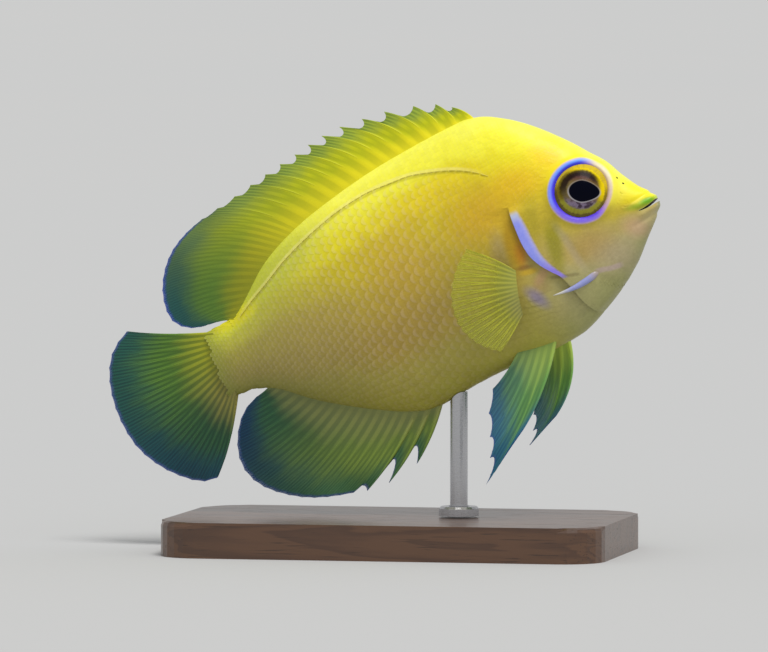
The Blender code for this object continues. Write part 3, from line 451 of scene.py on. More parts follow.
class Net:
    """Short hand for wiring a node tree."""

    def __init__(self, tree):
        self.tree = tree

    def add(self, kind, links=None, **settings):
        node = self.tree.nodes.new(kind)
        for key, value in settings.items():
            setattr(node, key, value)
        for key, value in (links or {}).items():
            self.feed(node.inputs[key], value)
        return node

    def feed(self, socket, value):
        if isinstance(value, bpy.types.NodeSocket):
            self.tree.links.new(value, socket)
        else:
            socket.default_value = value

    def math(self, operation, first, second=0.0, third=0.0):
        node = self.add("ShaderNodeMath", operation=operation)
        for socket, value in zip(node.inputs, (first, second, third)):
            self.feed(socket, value)
        return node.outputs[0]

    def plus(self, first, second):
        return self.math("ADD", first, second)

    def minus(self, first, second):
        return self.math("SUBTRACT", first, second)

    def times(self, first, second):
        return self.math("MULTIPLY", first, second)

    def scaled(self, value, by, start):
        return self.math("MULTIPLY_ADD", value, by, start)

    def length(self, first, second):
        return self.math("SQRT", self.plus(self.times(first, first), self.times(second, second)))

    def group(self, tree, **values):
        node = self.add("ShaderNodeGroup", node_tree=tree)
        for key, value in values.items():
            self.feed(node.inputs[key.replace("_", " ")], value)
        return node.outputs

    def attribute(self, name, output="Vector"):
        return self.add("ShaderNodeAttribute", attribute_name=name).outputs[output]

    def parts(self, vector):
        return self.add("ShaderNodeSeparateXYZ", {"Vector": vector}).outputs

    def joined(self, x, y, z=0.0):
        return self.add("ShaderNodeCombineXYZ", {"X": x, "Y": y, "Z": z}).outputs[0]

    def on_object(self):
        return self.add("ShaderNodeTexCoord").outputs["Object"]

    def stretched(self, place, scale):
        return self.add("ShaderNodeMapping", {"Vector": place, "Scale": scale}).outputs[0]

    def step(self, value, low, high, start=0.0, end=1.0):
        node = self.add("ShaderNodeMapRange", interpolation_type="SMOOTHSTEP")
        for key, given in zip(("Value", "From Min", "From Max", "To Min", "To Max"),
                              (value, low, high, start, end)):
            self.feed(node.inputs[key], given)
        return node.outputs["Result"]

    def mix(self, share, first, second, blend="MIX"):
        links = {"Factor": share, 6: first, 7: second}
        return self.add("ShaderNodeMix", links, data_type="RGBA", blend_type=blend).outputs[2]

    def mix_value(self, share, first, second):
        return self.math("MULTIPLY_ADD", share, second - first, first)

    def ramp(self, value, stops, interpolation="EASE"):
        node = self.add("ShaderNodeValToRGB")
        ramp = node.color_ramp
        ramp.interpolation = interpolation
        while len(ramp.elements) < len(stops):
            ramp.elements.new(0.5)
        for element, (place, colour) in zip(ramp.elements, stops):
            element.position = place
            element.color = colour
        self.feed(node.inputs["Fac"], value)
        return node.outputs["Color"]

    def curve(self, value, points):
        """A smooth line through points whose x and y are both between 0 and 1."""
        node = self.add("ShaderNodeFloatCurve")
        line = node.mapping.curves[0]
        while len(line.points) < len(points):
            line.points.new(0.5, 0.5)
        for point, place in zip(line.points, sorted(points)):
            point.location = place
        node.mapping.update()
        self.feed(node.inputs["Value"], value)
        return node.outputs[0]

    def noise(self, place, scale, detail=3.0, roughness=0.5, distortion=0.0):
        links = {"Vector": place, "Scale": scale, "Detail": detail, "Roughness": roughness,
                 "Distortion": distortion}
        return self.add("ShaderNodeTexNoise", links).outputs["Fac"]


def paint(red, green, blue):
    """A screen colour of 0 to 255 as the light it stands for."""
    linear = []
    for part in (red, green, blue):
        part /= 255
        linear.append(part / 12.92 if part <= 0.04045 else ((part + 0.055) / 1.055) ** 2.4)
    return (*linear, 1.0)


def new_group(name, inputs, outputs):
    """A shader group with (name, kind, default) inputs and (name, kind) outputs."""
    tree = bpy.data.node_groups.new(name, "ShaderNodeTree")
    for label, kind, default in inputs:
        socket = tree.interface.new_socket(label, in_out="INPUT", socket_type=kind)
        if default is not None:
            socket.default_value = default
    for label, kind in outputs:
        tree.interface.new_socket(label, in_out="OUTPUT", socket_type=kind)
    net = Net(tree)
    return net, net.add("NodeGroupInput").outputs, net.add("NodeGroupOutput").inputs


def patch_group():
    """A soft-edged ellipse in side view."""
    net, given, out = new_group(
        "soft_patch",
        [("Place", "NodeSocketVector", None), ("Centre", "NodeSocketVector", None),
         ("Radii", "NodeSocketVector", None), ("Turn", "NodeSocketFloat", 0.0),
         ("Softness", "NodeSocketFloat", 0.5)],
        [("Mask", "NodeSocketFloat")])
    moved = net.add("ShaderNodeVectorMath", {0: given["Place"], 1: given["Centre"]}, operation="SUBTRACT")
    swung = net.add("ShaderNodeVectorRotate", {"Vector": moved.outputs[0], "Angle": given["Turn"]},
                    rotation_type="Z_AXIS")
    shared = net.add("ShaderNodeVectorMath", {0: swung.outputs[0], 1: given["Radii"]}, operation="DIVIDE")
    far = net.add("ShaderNodeVectorMath", {0: shared.outputs[0]}, operation="LENGTH").outputs["Value"]
    low = net.minus(1.0, given["Softness"])
    high = net.plus(1.0, given["Softness"])
    net.feed(out["Mask"], net.step(far, low, high, 1.0, 0.0))
    return net.tree


def line_through(net, value, points):
    """A smooth line through (value, height) points."""
    ordered = sorted(points)
    low_x, high_x = ordered[0][0], ordered[-1][0]
    low_z = min(p[1] for p in ordered) - 0.5
    high_z = max(p[1] for p in ordered) + 0.5
    share = net.math("DIVIDE", net.minus(value, low_x), high_x - low_x)
    places = [((px - low_x) / (high_x - low_x), (pz - low_z) / (high_z - low_z)) for px, pz in ordered]
    return net.scaled(net.curve(share, places), high_z - low_z, low_z)


def in_pose(net, x, z):
    """Level and upright distances as the fish swims, nose up."""
    level = net.minus(net.times(x, math.cos(PITCH)), net.times(z, math.sin(PITCH)))
    return level, net.plus(net.times(x, math.sin(PITCH)), net.times(z, math.cos(PITCH)))


def stroke(net, off, half, soft, strength):
    """A soft-edged band either side of a line, where off is the distance from the line."""
    return net.times(net.step(net.math("ABSOLUTE", off), half + soft, half), strength)


def window(net, value, low, high, soft):
    """1 between low and high, with soft ends."""
    return net.times(net.step(value, low - soft, low + soft), net.step(value, high + soft, high - soft))


ANY_DEPTH = 1e4
# Tinted patches of the body, as (centre, radii, softness, turn, strength, colour)
PATCHES = [
    # Gold over the shoulder, the nape and the brow
    ((-27.0, 9.0), (6.0, 4.2), 0.8, 0.0, 0.75, (214, 170, 26)),
    ((-19.5, 11.6), (4.4, 2.8), 0.8, 0.2, 0.75, (234, 188, 6)),
    ((-13.6, 14.0), (3.0, 2.0), 0.8, 0.6, 0.8, (252, 214, 0)),
    ((-33.5, 15.0), (8.0, 2.6), 0.8, -0.1, 0.5, (230, 196, 22)),
    # Rosy tones of the middle and the rear of the flank
    ((-43.5, 6.5), (6.0, 6.5), 0.9, 0.0, 0.35, (206, 160, 66)),
    ((-47.0, -4.0), (9.0, 5.0), 0.9, 0.0, 0.35, (180, 144, 68)),
    ((-63.0, 0.5), (9.0, 5.0), 0.9, 0.0, 0.45, (178, 154, 84)),
    # Greenish yellow above the side line and the yellow ridge before the tail
    ((-64.0, 13.5), (9.0, 2.6), 0.7, -0.35, 0.5, (176, 184, 70)),
    ((-76.0, 8.2), (4.6, 1.5), 0.6, -0.1, 0.85, (222, 212, 18)),
    # Snout, cheek and jaw
    ((-2.3, 3.3), (2.4, 1.8), 0.7, 0.5, 0.75, (252, 236, 38)),
    ((-5.4, 5.6), (2.2, 3.2), 0.7, 0.6, 0.6, (248, 242, 92)),
    ((-2.5, 0.6), (1.8, 0.5), 0.8, 0.1, 0.7, (132, 172, 24)),
    ((-0.9, 0.9), (1.2, 0.5), 0.7, 0.1, 0.85, (92, 176, 26)),
    ((-4.2, -2.6), (2.0, 1.5), 0.8, 0.6, 0.55, (206, 164, 134)),
    ((-1.2, -1.9), (1.6, 1.2), 0.8, 0.6, 0.5, (204, 186, 130)),
    ((-12.2, -2.8), (3.6, 2.6), 0.9, 0.2, 0.5, (180, 142, 74)),
    ((-8.6, -6.0), (3.4, 2.6), 0.9, 0.6, 0.5, (178, 162, 132)),
    ((-12.5, -10.6), (7.0, 2.8), 0.8, 0.5, 0.6, (160, 160, 100)),
    ((-17.4, 0.6), (1.25, 6.4), 0.6, 0.19, 0.8, (146, 140, 16)),
    ((-17.2, 5.6), (2.2, 2.6), 0.8, 0.3, 0.5, (206, 178, 48)),
    ((-19.6, 5.2), (1.5, 3.2), 0.8, 0.15, 0.55, (160, 146, 22)),
    # Behind the gill cover: greyish flush, golden patch with its red heart, the dark nook as painted shade in
    # the dip under the cover's edge, lilac below, and an olive patch of painted shade above the breast fin's
    # root
    ((-26.6, 1.6), (1.4, 3.2), 0.7, 0.1, 0.6, (166, 144, 100)),
    ((-24.1, 2.0), (1.5, 4.6), 0.45, 0.14, 0.9, (176, 138, 4)),
    ((-23.4, 0.2), (1.0, 1.9), 0.8, 0.2, 0.5, (184, 100, 0)),
    ((-23.3, -3.1), (1.4, 0.5), 0.6, 0.1, 0.7, (198, 160, 14)),
    # Painted shade: the dark nook in the dip under the gill cover's edge
    ((-23.8, -2.2), (1.3, 0.42), 0.7, 0.15, 0.6, (116, 72, 26)),
    ((-21.6, -4.5), (1.8, 0.7), 0.7, -0.7, 0.55, (196, 152, 112)),
    ((-22.4, -5.9), (1.2, 1.4), 0.8, 0.0, 0.35, (160, 124, 98)),
    ((-23.7, -7.7), (0.95, 2.0), 0.8, -0.5, 0.65, (122, 110, 168)),
    # Painted shade: the olive shadow behind the gill band, above the breast fin's root
    ((-26.4, -1.0), (1.5, 2.6), 0.8, 0.1, 0.5, (136, 120, 20)),
]


def paint_eye_ring(net, x, z, colour):
    """The blue ring of skin round the eye, lilac white ahead of it, and painted shade on the skin sunk under
    the eye's edge.
    """
    ex = net.minus(x, EYE_X)
    ez = net.minus(z, EYE_Z)
    far = net.length(ex, ez)
    level, upright = in_pose(net, ex, ez)
    outer = net.step(far, 4.65, 5.2)
    above = net.step(upright, 0.5, 3.6)
    below = net.step(upright, -1.6, -4.2)
    light = net.mix(above, paint(128, 148, 255), paint(116, 164, 255))
    light = net.mix(below, light, paint(136, 112, 230))
    deep = net.mix(above, paint(70, 58, 232), paint(58, 60, 232))
    deep = net.mix(below, deep, paint(94, 66, 222))
    ring = net.mix(outer, deep, light)
    violet = net.times(net.step(far, 5.15, 5.6), net.math("MAXIMUM", above, below))
    ring = net.mix(violet, ring, paint(190, 160, 214))
    ahead = net.step(net.plus(level, net.times(upright, 0.35)), 0.9, 4.0)
    pale = net.mix(net.step(upright, -3.2, 2.8), paint(190, 140, 208), paint(230, 210, 212))
    pale = net.mix(net.step(far, 4.75, 4.4), pale, paint(178, 136, 164))
    ring = net.mix(ahead, ring, pale)
    reach = net.mix_value(ahead, 5.75, 5.3)
    fade = net.minus(reach, far)
    mask = net.times(net.step(fade, 0.0, 0.45), net.step(ahead, 0.5, 1.0, 1.0, 0.7))
    colour = net.mix(mask, colour, ring)
    # Painted shade: the skin sunk in the socket under the eye's edge is painted near black
    return net.mix(net.step(far, 4.4, 4.15), colour, paint(40, 30, 40)), mask


def paint_gill_band(net, x, z, edge, wander, colour):
    """The smooth lilac-blue band along the rear of the gill cover."""
    ahead = net.minus(line_through(net, z, BAND_FRONT), x)
    ahead = net.plus(ahead, net.scaled(wander, 0.5, -0.25))
    band = net.times(net.step(ahead, -0.3, 0.3), net.step(edge, -0.25, 0.0))
    band = net.times(band, window(net, z, BAND_FOOT, BAND_TOP, 0.55))
    lilac = net.mix(wander, paint(134, 142, 240), paint(160, 168, 250))
    lilac = net.mix(net.step(ahead, 0.9, 0.1), lilac, paint(172, 172, 236))
    lilac = net.mix(net.step(z, -1.5, -5.0), lilac, paint(150, 132, 240))
    lilac = net.mix(net.step(z, 4.8, 7.0), lilac, paint(190, 198, 222))
    return net.mix(band, colour, lilac), band


def markings_and_shade_group(shape):
    """Colours of the fish by place in side view, with painted light and shade among them, shared by the skin
    and the scales.
    """
    net, given, out = new_group(
        "fish_markings_and_painted_shade",
        [("Place", "NodeSocketVector", None), ("Edge", "NodeSocketFloat", 0.0)],
        [("Colour", "NodeSocketColor"), ("Sheen Mask", "NodeSocketFloat")])
    parts = net.parts(given["Place"])
    x, z, height = parts["X"], parts["Y"], parts["Z"]
    wander = net.noise(given["Place"], 0.35, 3.0)
    drift = net.scaled(wander, 0.12, -0.06)
    h = net.plus(height, drift)
    # Painted light and shade in these three ramps by height: the dull olive-tan towards the belly is painted
    # shade and the bright lemon along the back is painted light, laid over the fish's own yellow.
    trunk = net.ramp(h, [
        (0.0, paint(178, 174, 74)), (0.14, paint(174, 164, 72)), (0.32, paint(170, 150, 62)),
        (0.52, paint(190, 168, 46)), (0.7, paint(210, 190, 20)), (0.8, paint(232, 218, 20)),
        (0.9, paint(248, 242, 60)), (1.0, paint(250, 248, 88))])
    rear = net.ramp(h, [
        (0.0, paint(148, 148, 74)), (0.25, paint(154, 144, 70)), (0.5, paint(164, 156, 62)),
        (0.72, paint(186, 184, 58)), (0.88, paint(208, 212, 48)), (1.0, paint(206, 214, 40))])
    head = net.ramp(h, [
        (0.0, paint(160, 160, 100)), (0.18, paint(182, 172, 118)), (0.36, paint(184, 166, 90)),
        (0.5, paint(190, 170, 46)), (0.62, paint(222, 202, 22)), (0.78, paint(244, 230, 16)),
        (0.92, paint(248, 244, 34)), (1.0, paint(250, 252, 88))])
    colour = net.mix(net.step(x, -50.0, -72.0), trunk, rear)
    colour = net.mix(net.step(x, -27.0, -17.0), colour, head)
    for centre, radii, soft, turn, strength, tint in PATCHES:
        patch = net.group(shape, Place=given["Place"], Centre=(*centre, 0.0), Radii=(*radii, ANY_DEPTH),
                          Turn=turn, Softness=soft)
        colour = net.mix(net.times(patch["Mask"], strength), colour, paint(*tint))
    colour = net.mix(net.step(x, -77.0, -82.6, 0.0, 0.8), colour, paint(124, 134, 50))
    # Lines of the cheek and under the gill cover
    cheek = net.minus(x, line_through(net, z, CHEEK_LINE))
    cheek = net.times(stroke(net, cheek, 0.1, 1.0, 0.3), window(net, z, -6.0, 2.4, 1.8))
    colour = net.mix(cheek, colour, paint(178, 166, 150))
    foot = net.minus(z, line_through(net, x, [(-21.5, -5.0), (-20.5, -5.3), (-18.6, -5.8), (-16.1, -6.4),
                                              (-15.0, -6.7)]))
    foot = net.times(stroke(net, foot, 0.08, 0.4, 0.42), window(net, x, -20.4, -15.6, 0.5))
    colour = net.mix(foot, colour, paint(104, 92, 52))
    rosy = net.minus(z, line_through(net, x, [(-13.6, -7.1), (-12.1, -7.2), (-10.4, -7.5), (-8.0, -7.5)]))
    rosy = net.times(stroke(net, rosy, 0.2, 0.45, 0.5), window(net, x, -13.0, -8.8, 0.6))
    colour = net.mix(rosy, colour, paint(196, 168, 176))
    colour, band = paint_gill_band(net, x, z, given["Edge"], wander, colour)
    colour, ring = paint_eye_ring(net, x, z, colour)
    # Side line: painted shade below, where the raised tubes would shade the skin, and the line's pale tone
    # above
    behind = window(net, x, -73.0, -26.5, 2.8)
    off = net.minus(z, line_through(net, x, SIDE_LINE))
    # Painted shade: the dark stroke just below the side line
    dark = net.times(stroke(net, net.plus(off, 0.24), 0.06, 0.34, 0.34), behind)
    colour = net.mix(dark, colour, paint(138, 130, 22))
    pale = net.times(stroke(net, net.minus(off, 0.3), 0.14, 0.35, 0.4), behind)
    colour = net.mix(pale, colour, paint(246, 238, 150))
    # Fine freckling
    grain = net.noise(given["Place"], 2.2, 4.0, 0.6)
    grain = net.ramp(grain, [(0.3, paint(0, 0, 0)), (0.7, paint(255, 255, 255))])
    colour = net.mix(0.08, colour, grain, "SOFT_LIGHT")
    net.feed(out["Colour"], colour)
    net.feed(out["Sheen Mask"], net.math("MAXIMUM", band, ring))
    return net.tree


def fin_markings_and_shade_group():
    """Colours of a fin: u runs ray by ray, v from root to margin, with painted shade in the notches behind
    the spines.
    """
    net, given, out = new_group(
        "fin_markings_and_painted_shade",
        [("Ray Place", "NodeSocketVector", None)]
        + [(tone, "NodeSocketColor", None) for tone in FIN_TONES]
        + [(label, "NodeSocketFloat", value) for label, value in (
            ("Rim Start", 0.93), ("Rim From", -1.0), ("Ray Tint", 0.5), ("Ray Count", 16.0))],
        [("Colour", "NodeSocketColor"), ("Ray Height", "NodeSocketFloat"), ("Fringe", "NodeSocketFloat")])
    parts = net.parts(given["Ray Place"])
    u, v = parts["X"], parts["Y"]
    wander = net.noise(net.joined(net.times(u, 14.0), net.times(v, 4.0)), 1.0, 3.0)
    w = net.plus(v, net.scaled(wander, 0.24, -0.12))
    sides = []
    for side in ("Front", "Rear"):
        first = net.mix(net.step(w, 0.08, 0.5), given[side + " Root"], given[side + " Middle"])
        sides.append(net.mix(net.step(w, 0.5, 0.93), first, given[side + " Edge"]))
    colour = net.mix(net.step(u, 0.2, 0.85), sides[0], sides[1])
    # Rays, which split towards the margin
    height = 0.0
    phase = net.times(u, given["Ray Count"])
    for splits, start, end in ((1.0, -1.0, -0.5), (2.0, 0.35, 0.6), (4.0, 0.68, 0.85)):
        wave = net.math("COSINE", net.times(net.times(phase, splits), 2 * math.pi))
        ridge = net.step(wave, -0.55, 0.6)
        height = net.scaled(net.minus(ridge, height), net.step(v, start, end), height)
    light = net.mix(1.0, colour, (1.4, 1.34, 1.15, 1.0), "MULTIPLY")
    dark = net.mix(1.0, colour, (0.52, 0.62, 0.66, 1.0), "MULTIPLY")
    rayed = net.mix(height, dark, light)
    colour = net.mix(net.times(given["Ray Tint"], net.step(v, 0.0, 0.2, 0.25, 1.0)), colour, rayed)
    rim = net.step(v, given["Rim Start"], net.plus(given["Rim Start"], 0.05))
    past = net.minus(u, given["Rim From"])
    # Painted shade: the web darkens towards the margin just behind each spine, in the notch under the spine's
    # tip
    notch = net.times(net.step(v, 0.72, 1.0), net.step(past, 0.08, -0.08))
    notch = net.times(notch, net.minus(1.0, height))
    colour = net.mix(net.times(notch, 0.6), colour, dark)
    rim = net.times(rim, net.step(past, -0.08, 0.08))
    colour = net.mix(rim, colour, given["Rim"])
    joints = net.math("SINE", net.times(v, 150.0))
    height = net.scaled(net.times(joints, height), 0.12, height)
    net.feed(out["Colour"], colour)
    net.feed(out["Ray Height"], height)
    net.feed(out["Fringe"], rim)
    return net.tree


def new_material(name, roughness=0.45, **fixed):
    material = bpy.data.materials.new(name)
    material.use_nodes = True
    net = Net(material.node_tree)
    shader = material.node_tree.nodes["Principled BSDF"]
    shader.inputs["Roughness"].default_value = roughness
    for key, value in fixed.items():
        shader.inputs[key.replace("_", " ")].default_value = value
    return material, net, shader


def bump(net, shader, height, strength, distance):
    node = net.add("ShaderNodeBump", {"Height": height, "Strength": strength, "Distance": distance})
    net.feed(shader.inputs["Normal"], node.outputs["Normal"])


def skin_material(markings_with_shade):
    material, net, shader = new_material("lemon_skin", 0.42, Coat_Weight=0.06, Coat_Roughness=0.3,
                                         Specular_IOR_Level=0.35)
    marks = net.group(markings_with_shade, Place=net.attribute("fish_place"), Edge=net.attribute("gill_distance", "Fac"))
    net.feed(shader.inputs["Base Color"], marks["Colour"])
    coordinates = net.on_object()
    pores = net.add("ShaderNodeTexVoronoi", {"Vector": coordinates, "Scale": 2600.0})
    fine = net.noise(coordinates, 5200.0, 2.0)
    height = net.scaled(fine, 0.35, pores.outputs["Distance"])
    bump(net, shader, height, 0.2, 0.00004)
    net.feed(shader.inputs["Roughness"], net.step(fine, 0.2, 0.8, 0.38, 0.5))
    return material


def scale_material(markings_with_shade):
    material, net, shader = new_material("scale_skin", 0.42, Coat_Weight=0.06, Coat_Roughness=0.28,
                                         Specular_IOR_Level=0.35)
    edge, tone, along, across, shown = [net.attribute(name, "Fac") for name in (
        "gill_distance", "tone", "along", "across", "crescent")]
    marks = net.group(markings_with_shade, Place=net.attribute("fish_place"), Edge=edge)
    bright = net.scaled(tone, 0.08, 0.96)
    colour = net.mix(1.0, marks["Colour"], net.joined(bright, bright, bright), "MULTIPLY")
    # A pale lilac crescent along each rear edge, a deeper tone before it
    squared = net.times(across, across)
    rim = net.scaled(squared, 0.6, along)
    inner = net.step(net.math("ABSOLUTE", across), 0.46, 0.26)
    crescent = net.times(net.times(net.step(rim, 0.82, 0.93), inner), shown)
    colour = net.mix(net.times(crescent, 0.17), colour, paint(226, 202, 182))
    deep = net.times(net.step(rim, 0.8, 0.6), net.times(shown, 0.1))
    colour = net.mix(deep, colour, paint(166, 130, 20))
    net.feed(shader.inputs["Base Color"], colour)
    ribs = net.math("SINE", net.times(across, 34.0))
    rings = net.math("SINE", net.times(along, 60.0))
    height = net.scaled(rings, 0.5, ribs)
    bump(net, shader, height, 0.12, 0.00002)
    net.feed(shader.inputs["Roughness"], net.step(tone, 0.0, 1.0, 0.38, 0.48))
    return material


def fin_material(name, markings_with_shade, palette, ray_count, rim, ray_tint, clear):
    """A membrane whose colours run from root to margin, with lighter rays; clear is Alpha at both."""
    material, net, shader = new_material(name, 0.5, Coat_Weight=0.04, Coat_Roughness=0.3,
                                         Specular_IOR_Level=0.3)
    place = net.attribute("ray_place")
    marks = net.group(markings_with_shade, Ray_Place=place, Rim_Start=rim[0], Rim_From=rim[1], Ray_Tint=ray_tint,
                      Ray_Count=ray_count, **dict(zip(FIN_TONES, palette)))
    net.feed(shader.inputs["Base Color"], marks["Colour"])
    fine = net.noise(net.on_object(), 3200.0, 3.0)
    bump(net, shader, net.scaled(fine, 0.4, marks["Ray Height"]), 0.3, 0.00006)
    if clear is None:
        alpha = net.scaled(marks["Fringe"], -0.35, 1.0)
    else:
        alpha = net.step(net.parts(place)["Y"], 0.05, 0.55, *clear)
    net.feed(shader.inputs["Alpha"], alpha)
    return material


def eye_material():
    """Black-blue egg-shaped pupil, its pale ring, and the iris in brown, gold and yellow."""
    material, net, shader = new_material("eye_surface", 0.3, Coat_Weight=0.02, Coat_Roughness=0.05,
                                         Specular_IOR_Level=0.05)
    place = net.attribute("eye_place")
    parts = net.parts(place)
    a, b = parts["X"], parts["Y"]
    far = net.length(a, b)
    level, upright = in_pose(net, a, b)
    # Pupil: blunt behind, drawn out to a point ahead, level in the swimming pose
    pu = net.minus(level, 0.55)
    pv = net.minus(upright, -0.2)
    narrow = net.step(pu, -0.9, 2.9, 1.0, 1.32)
    pu = net.math("DIVIDE", pu, 2.52)
    pv = net.math("DIVIDE", net.times(pv, narrow), 1.8)
    pupil = net.length(pu, pv)
    angle = net.math("ARCTAN2", b, a)
    streak_place = net.joined(net.times(net.math("COSINE", angle), 9.0),
                              net.times(net.math("SINE", angle), 9.0), net.times(far, 0.5))
    streaks = net.noise(streak_place, 1.2, 4.0, 0.65)
    wavy = net.plus(far, net.scaled(streaks, 0.5, -0.25))
    blotches = net.noise(place, 1.1, 3.0, 0.6)
    gold_and_painted_light = net.step(net.plus(net.times(level, 0.7), net.times(upright, 0.7)), -0.6, 2.6)
    high = net.step(upright, -0.6, 1.6)
    low = net.step(upright, -1.0, -2.4)
    # Gold outside, greyed rose and brown inside; the gold's bright yellow on the upper front, which faces the
    # light, is partly painted light
    gold = net.mix(gold_and_painted_light, paint(120, 104, 24), paint(232, 204, 6))
    gold = net.mix(low, gold, paint(150, 146, 48))
    inner = net.mix(net.step(level, -2.8, 0.6), paint(116, 102, 62), paint(132, 108, 56))
    inner = net.mix(net.step(upright, 0.8, 2.4), inner, paint(84, 52, 50))
    inner = net.mix(low, inner, paint(126, 112, 134))
    iris = net.mix(net.step(wavy, 2.95, 3.45), inner, gold)
    # Dark arc, strongest above and behind the pupil
    arc = net.times(net.step(wavy, 3.85, 3.35), net.step(wavy, 2.2, 2.7))
    reach = net.step(net.minus(net.times(upright, 0.9), net.times(level, 0.35)),
                     -1.2, 1.8)
    iris = net.mix(net.times(net.times(arc, reach), 0.92), iris, paint(26, 14, 12))
    under = net.times(net.times(net.step(wavy, 3.35, 3.0), low), net.step(blotches, 0.4, 0.54))
    iris = net.mix(net.times(under, 0.85), iris, paint(48, 32, 46))
    # Rim of the iris: thin and yellow, dark olive at the foot
    rim = net.mix(high, paint(92, 76, 40), paint(206, 180, 52))
    iris = net.mix(net.times(net.step(wavy, 3.85, 4.1), 0.75), iris, rim)
    iris = net.mix(net.times(net.step(streaks, 0.45, 0.75), 0.25), iris, paint(60, 42, 30))
    # Thin pale ring of the pupil
    halo = net.times(net.step(pupil, 1.17, 1.08), net.mix_value(net.step(upright, 0.9, -0.9), 0.3, 0.8))
    colour = net.mix(halo, iris, paint(168, 164, 170))
    colour = net.mix(net.step(pupil, 1.07, 1.0), colour, paint(1, 2, 16))
    net.feed(shader.inputs["Base Color"], colour)
    net.feed(shader.inputs["Roughness"], net.step(pupil, 0.95, 1.15, 0.12, 0.34))
    bump(net, shader, net.times(streaks, net.step(pupil, 1.0, 1.3)), 0.25, 0.0001)
    return material


def spine_material():
    material, net, shader = new_material("cheek_spine_surface", 0.35, Coat_Weight=0.3, Coat_Roughness=0.2)
    place = net.attribute("fish_place")
    parts = net.parts(place)
    patches = net.noise(place, 1.4, 3.0)
    colour = net.mix(patches, paint(134, 144, 206), paint(164, 166, 216))
    colour = net.mix(net.step(parts["X"], -17.5, -20.0), colour, paint(206, 204, 196))
    colour = net.mix(net.step(parts["X"], -15.0, -12.8), colour, paint(176, 160, 150))
    net.feed(shader.inputs["Base Color"], colour)
    bump(net, shader, net.noise(place, 9.0, 3.0), 0.2, 0.00005)
    return material


def side_line_material():
    material, net, shader = new_material("side_line_tubes", 0.38, Coat_Weight=0.2, Coat_Roughness=0.2)
    coordinates = net.on_object()
    patches = net.noise(coordinates, 260.0, 3.0)
    net.feed(shader.inputs["Base Color"], net.mix(patches, paint(214, 200, 60), paint(240, 230, 120)))
    bump(net, shader, net.noise(coordinates, 4000.0, 2.0), 0.2, 0.00003)
    return material


# Painted shade: the lining of the mouth's cut and of the nostrils is near black-brown, standing for the shade
# inside them
def mouth_material():
    material, net, shader = new_material("mouth_lining_painted_shade", 0.5)
    coordinates = net.on_object()
    patches = net.noise(coordinates, 900.0, 2.0)
    net.feed(shader.inputs["Base Color"], net.mix(patches, paint(44, 28, 30), paint(82, 52, 44)))
    return material


def wood_material():
    material, net, shader = new_material("dark_walnut", 0.38, Coat_Weight=0.3, Coat_Roughness=0.22)
    coordinates = net.on_object()
    growth = net.noise(net.stretched(coordinates, (7.0, 90.0, 90.0)), 1.0, 4.0, 0.5, 0.6)
    rings = net.math("FRACT", net.times(growth, 11.0))
    band = net.times(net.step(rings, 0.0, 0.6), net.step(rings, 1.0, 0.85))
    broad = net.noise(net.stretched(coordinates, (3.0, 26.0, 26.0)), 1.0, 2.0)
    colour = net.mix(broad, paint(58, 38, 26), paint(84, 56, 38))
    colour = net.mix(net.times(band, 0.5), colour, paint(104, 72, 48))
    pores = net.noise(net.stretched(coordinates, (150.0, 3600.0, 3600.0)), 1.0, 2.0)
    pores = net.step(pores, 0.6, 0.72)
    colour = net.mix(net.times(pores, 0.55), colour, paint(30, 19, 13))
    net.feed(shader.inputs["Base Color"], colour)
    net.feed(shader.inputs["Roughness"], net.step(pores, 0.0, 1.0, 0.34, 0.6))
    bump(net, shader, net.scaled(pores, -1.0, net.times(band, 0.3)), 0.3, 0.00006)
    return material


def steel_material():
    material, net, shader = new_material("brushed_steel", 0.3, Metallic=1.0)
    coordinates = net.on_object()
    brushing = net.noise(net.stretched(coordinates, (900.0, 900.0, 22000.0)), 1.0, 2.0)
    net.feed(shader.inputs["Base Color"], net.mix(brushing, paint(168, 168, 172), paint(206, 206, 208)))
    net.feed(shader.inputs["Roughness"], net.step(brushing, 0.2, 0.8, 0.22, 0.4))
    bump(net, shader, brushing, 0.12, 0.00002)
    return material


# Meshes

def put_in_scene(name, data):
    made = bpy.data.objects.new(name, data)
    bpy.context.scene.collection.objects.link(made)
    return made


def tube_faces(rings, sides):
    """Faces between rings of points that follow one another."""
    faces = []
    for r in range(rings - 1):
        for k in range(sides):
            after = (k + 1) % sides
            faces.append((r * sides + k, r * sides + after, (r + 1) * sides + after, (r + 1) * sides + k))
    return faces


def closed_tube_faces(rings, sides):
    ends = [tuple(range(sides)), tuple(range(rings * sides - 1, (rings - 1) * sides - 1, -1))]
    return ends + tube_faces(rings, sides)


def angle_at(x, z, side):
    """Angle round the body of a side-view place, on the right flank (-1) or the left one (1)."""
    angle = np.arcsin(lift_at(x, z))
    return angle if side == -1 else math.pi - angle


def mesh_object(name, points, faces, material, smooth=True):
    mesh = bpy.data.meshes.new(name)
    mesh.from_pydata([tuple(p) for p in points], [], faces)
    mesh.validate()
    made = put_in_scene(name, mesh)
    if material is not None:
        mesh.materials.append(material)
    if smooth:
        mesh.shade_smooth()
    return made


def outward(made):
    """Turn every face of a closed mesh outwards."""
    bm = bmesh.new()
    bm.from_mesh(made.data)
    bmesh.ops.recalc_face_normals(bm, faces=bm.faces)
    bm.to_mesh(made.data)
    bm.free()


def put_attribute(made, name, kind, values):
    attribute = made.data.attributes.new(name, kind, "POINT")
    key = "vector" if kind == "FLOAT_VECTOR" else "value"
    attribute.data.foreach_set(key, np.asarray(values, np.float32).ravel())


def fish_place(x, z):
    """Side-view place for the markings: x, height and the share of the body's depth."""
    low, high = belly_line(x), back_line(x)
    return np.stack([x, z, (z - low) / (high - low)], axis=-1)


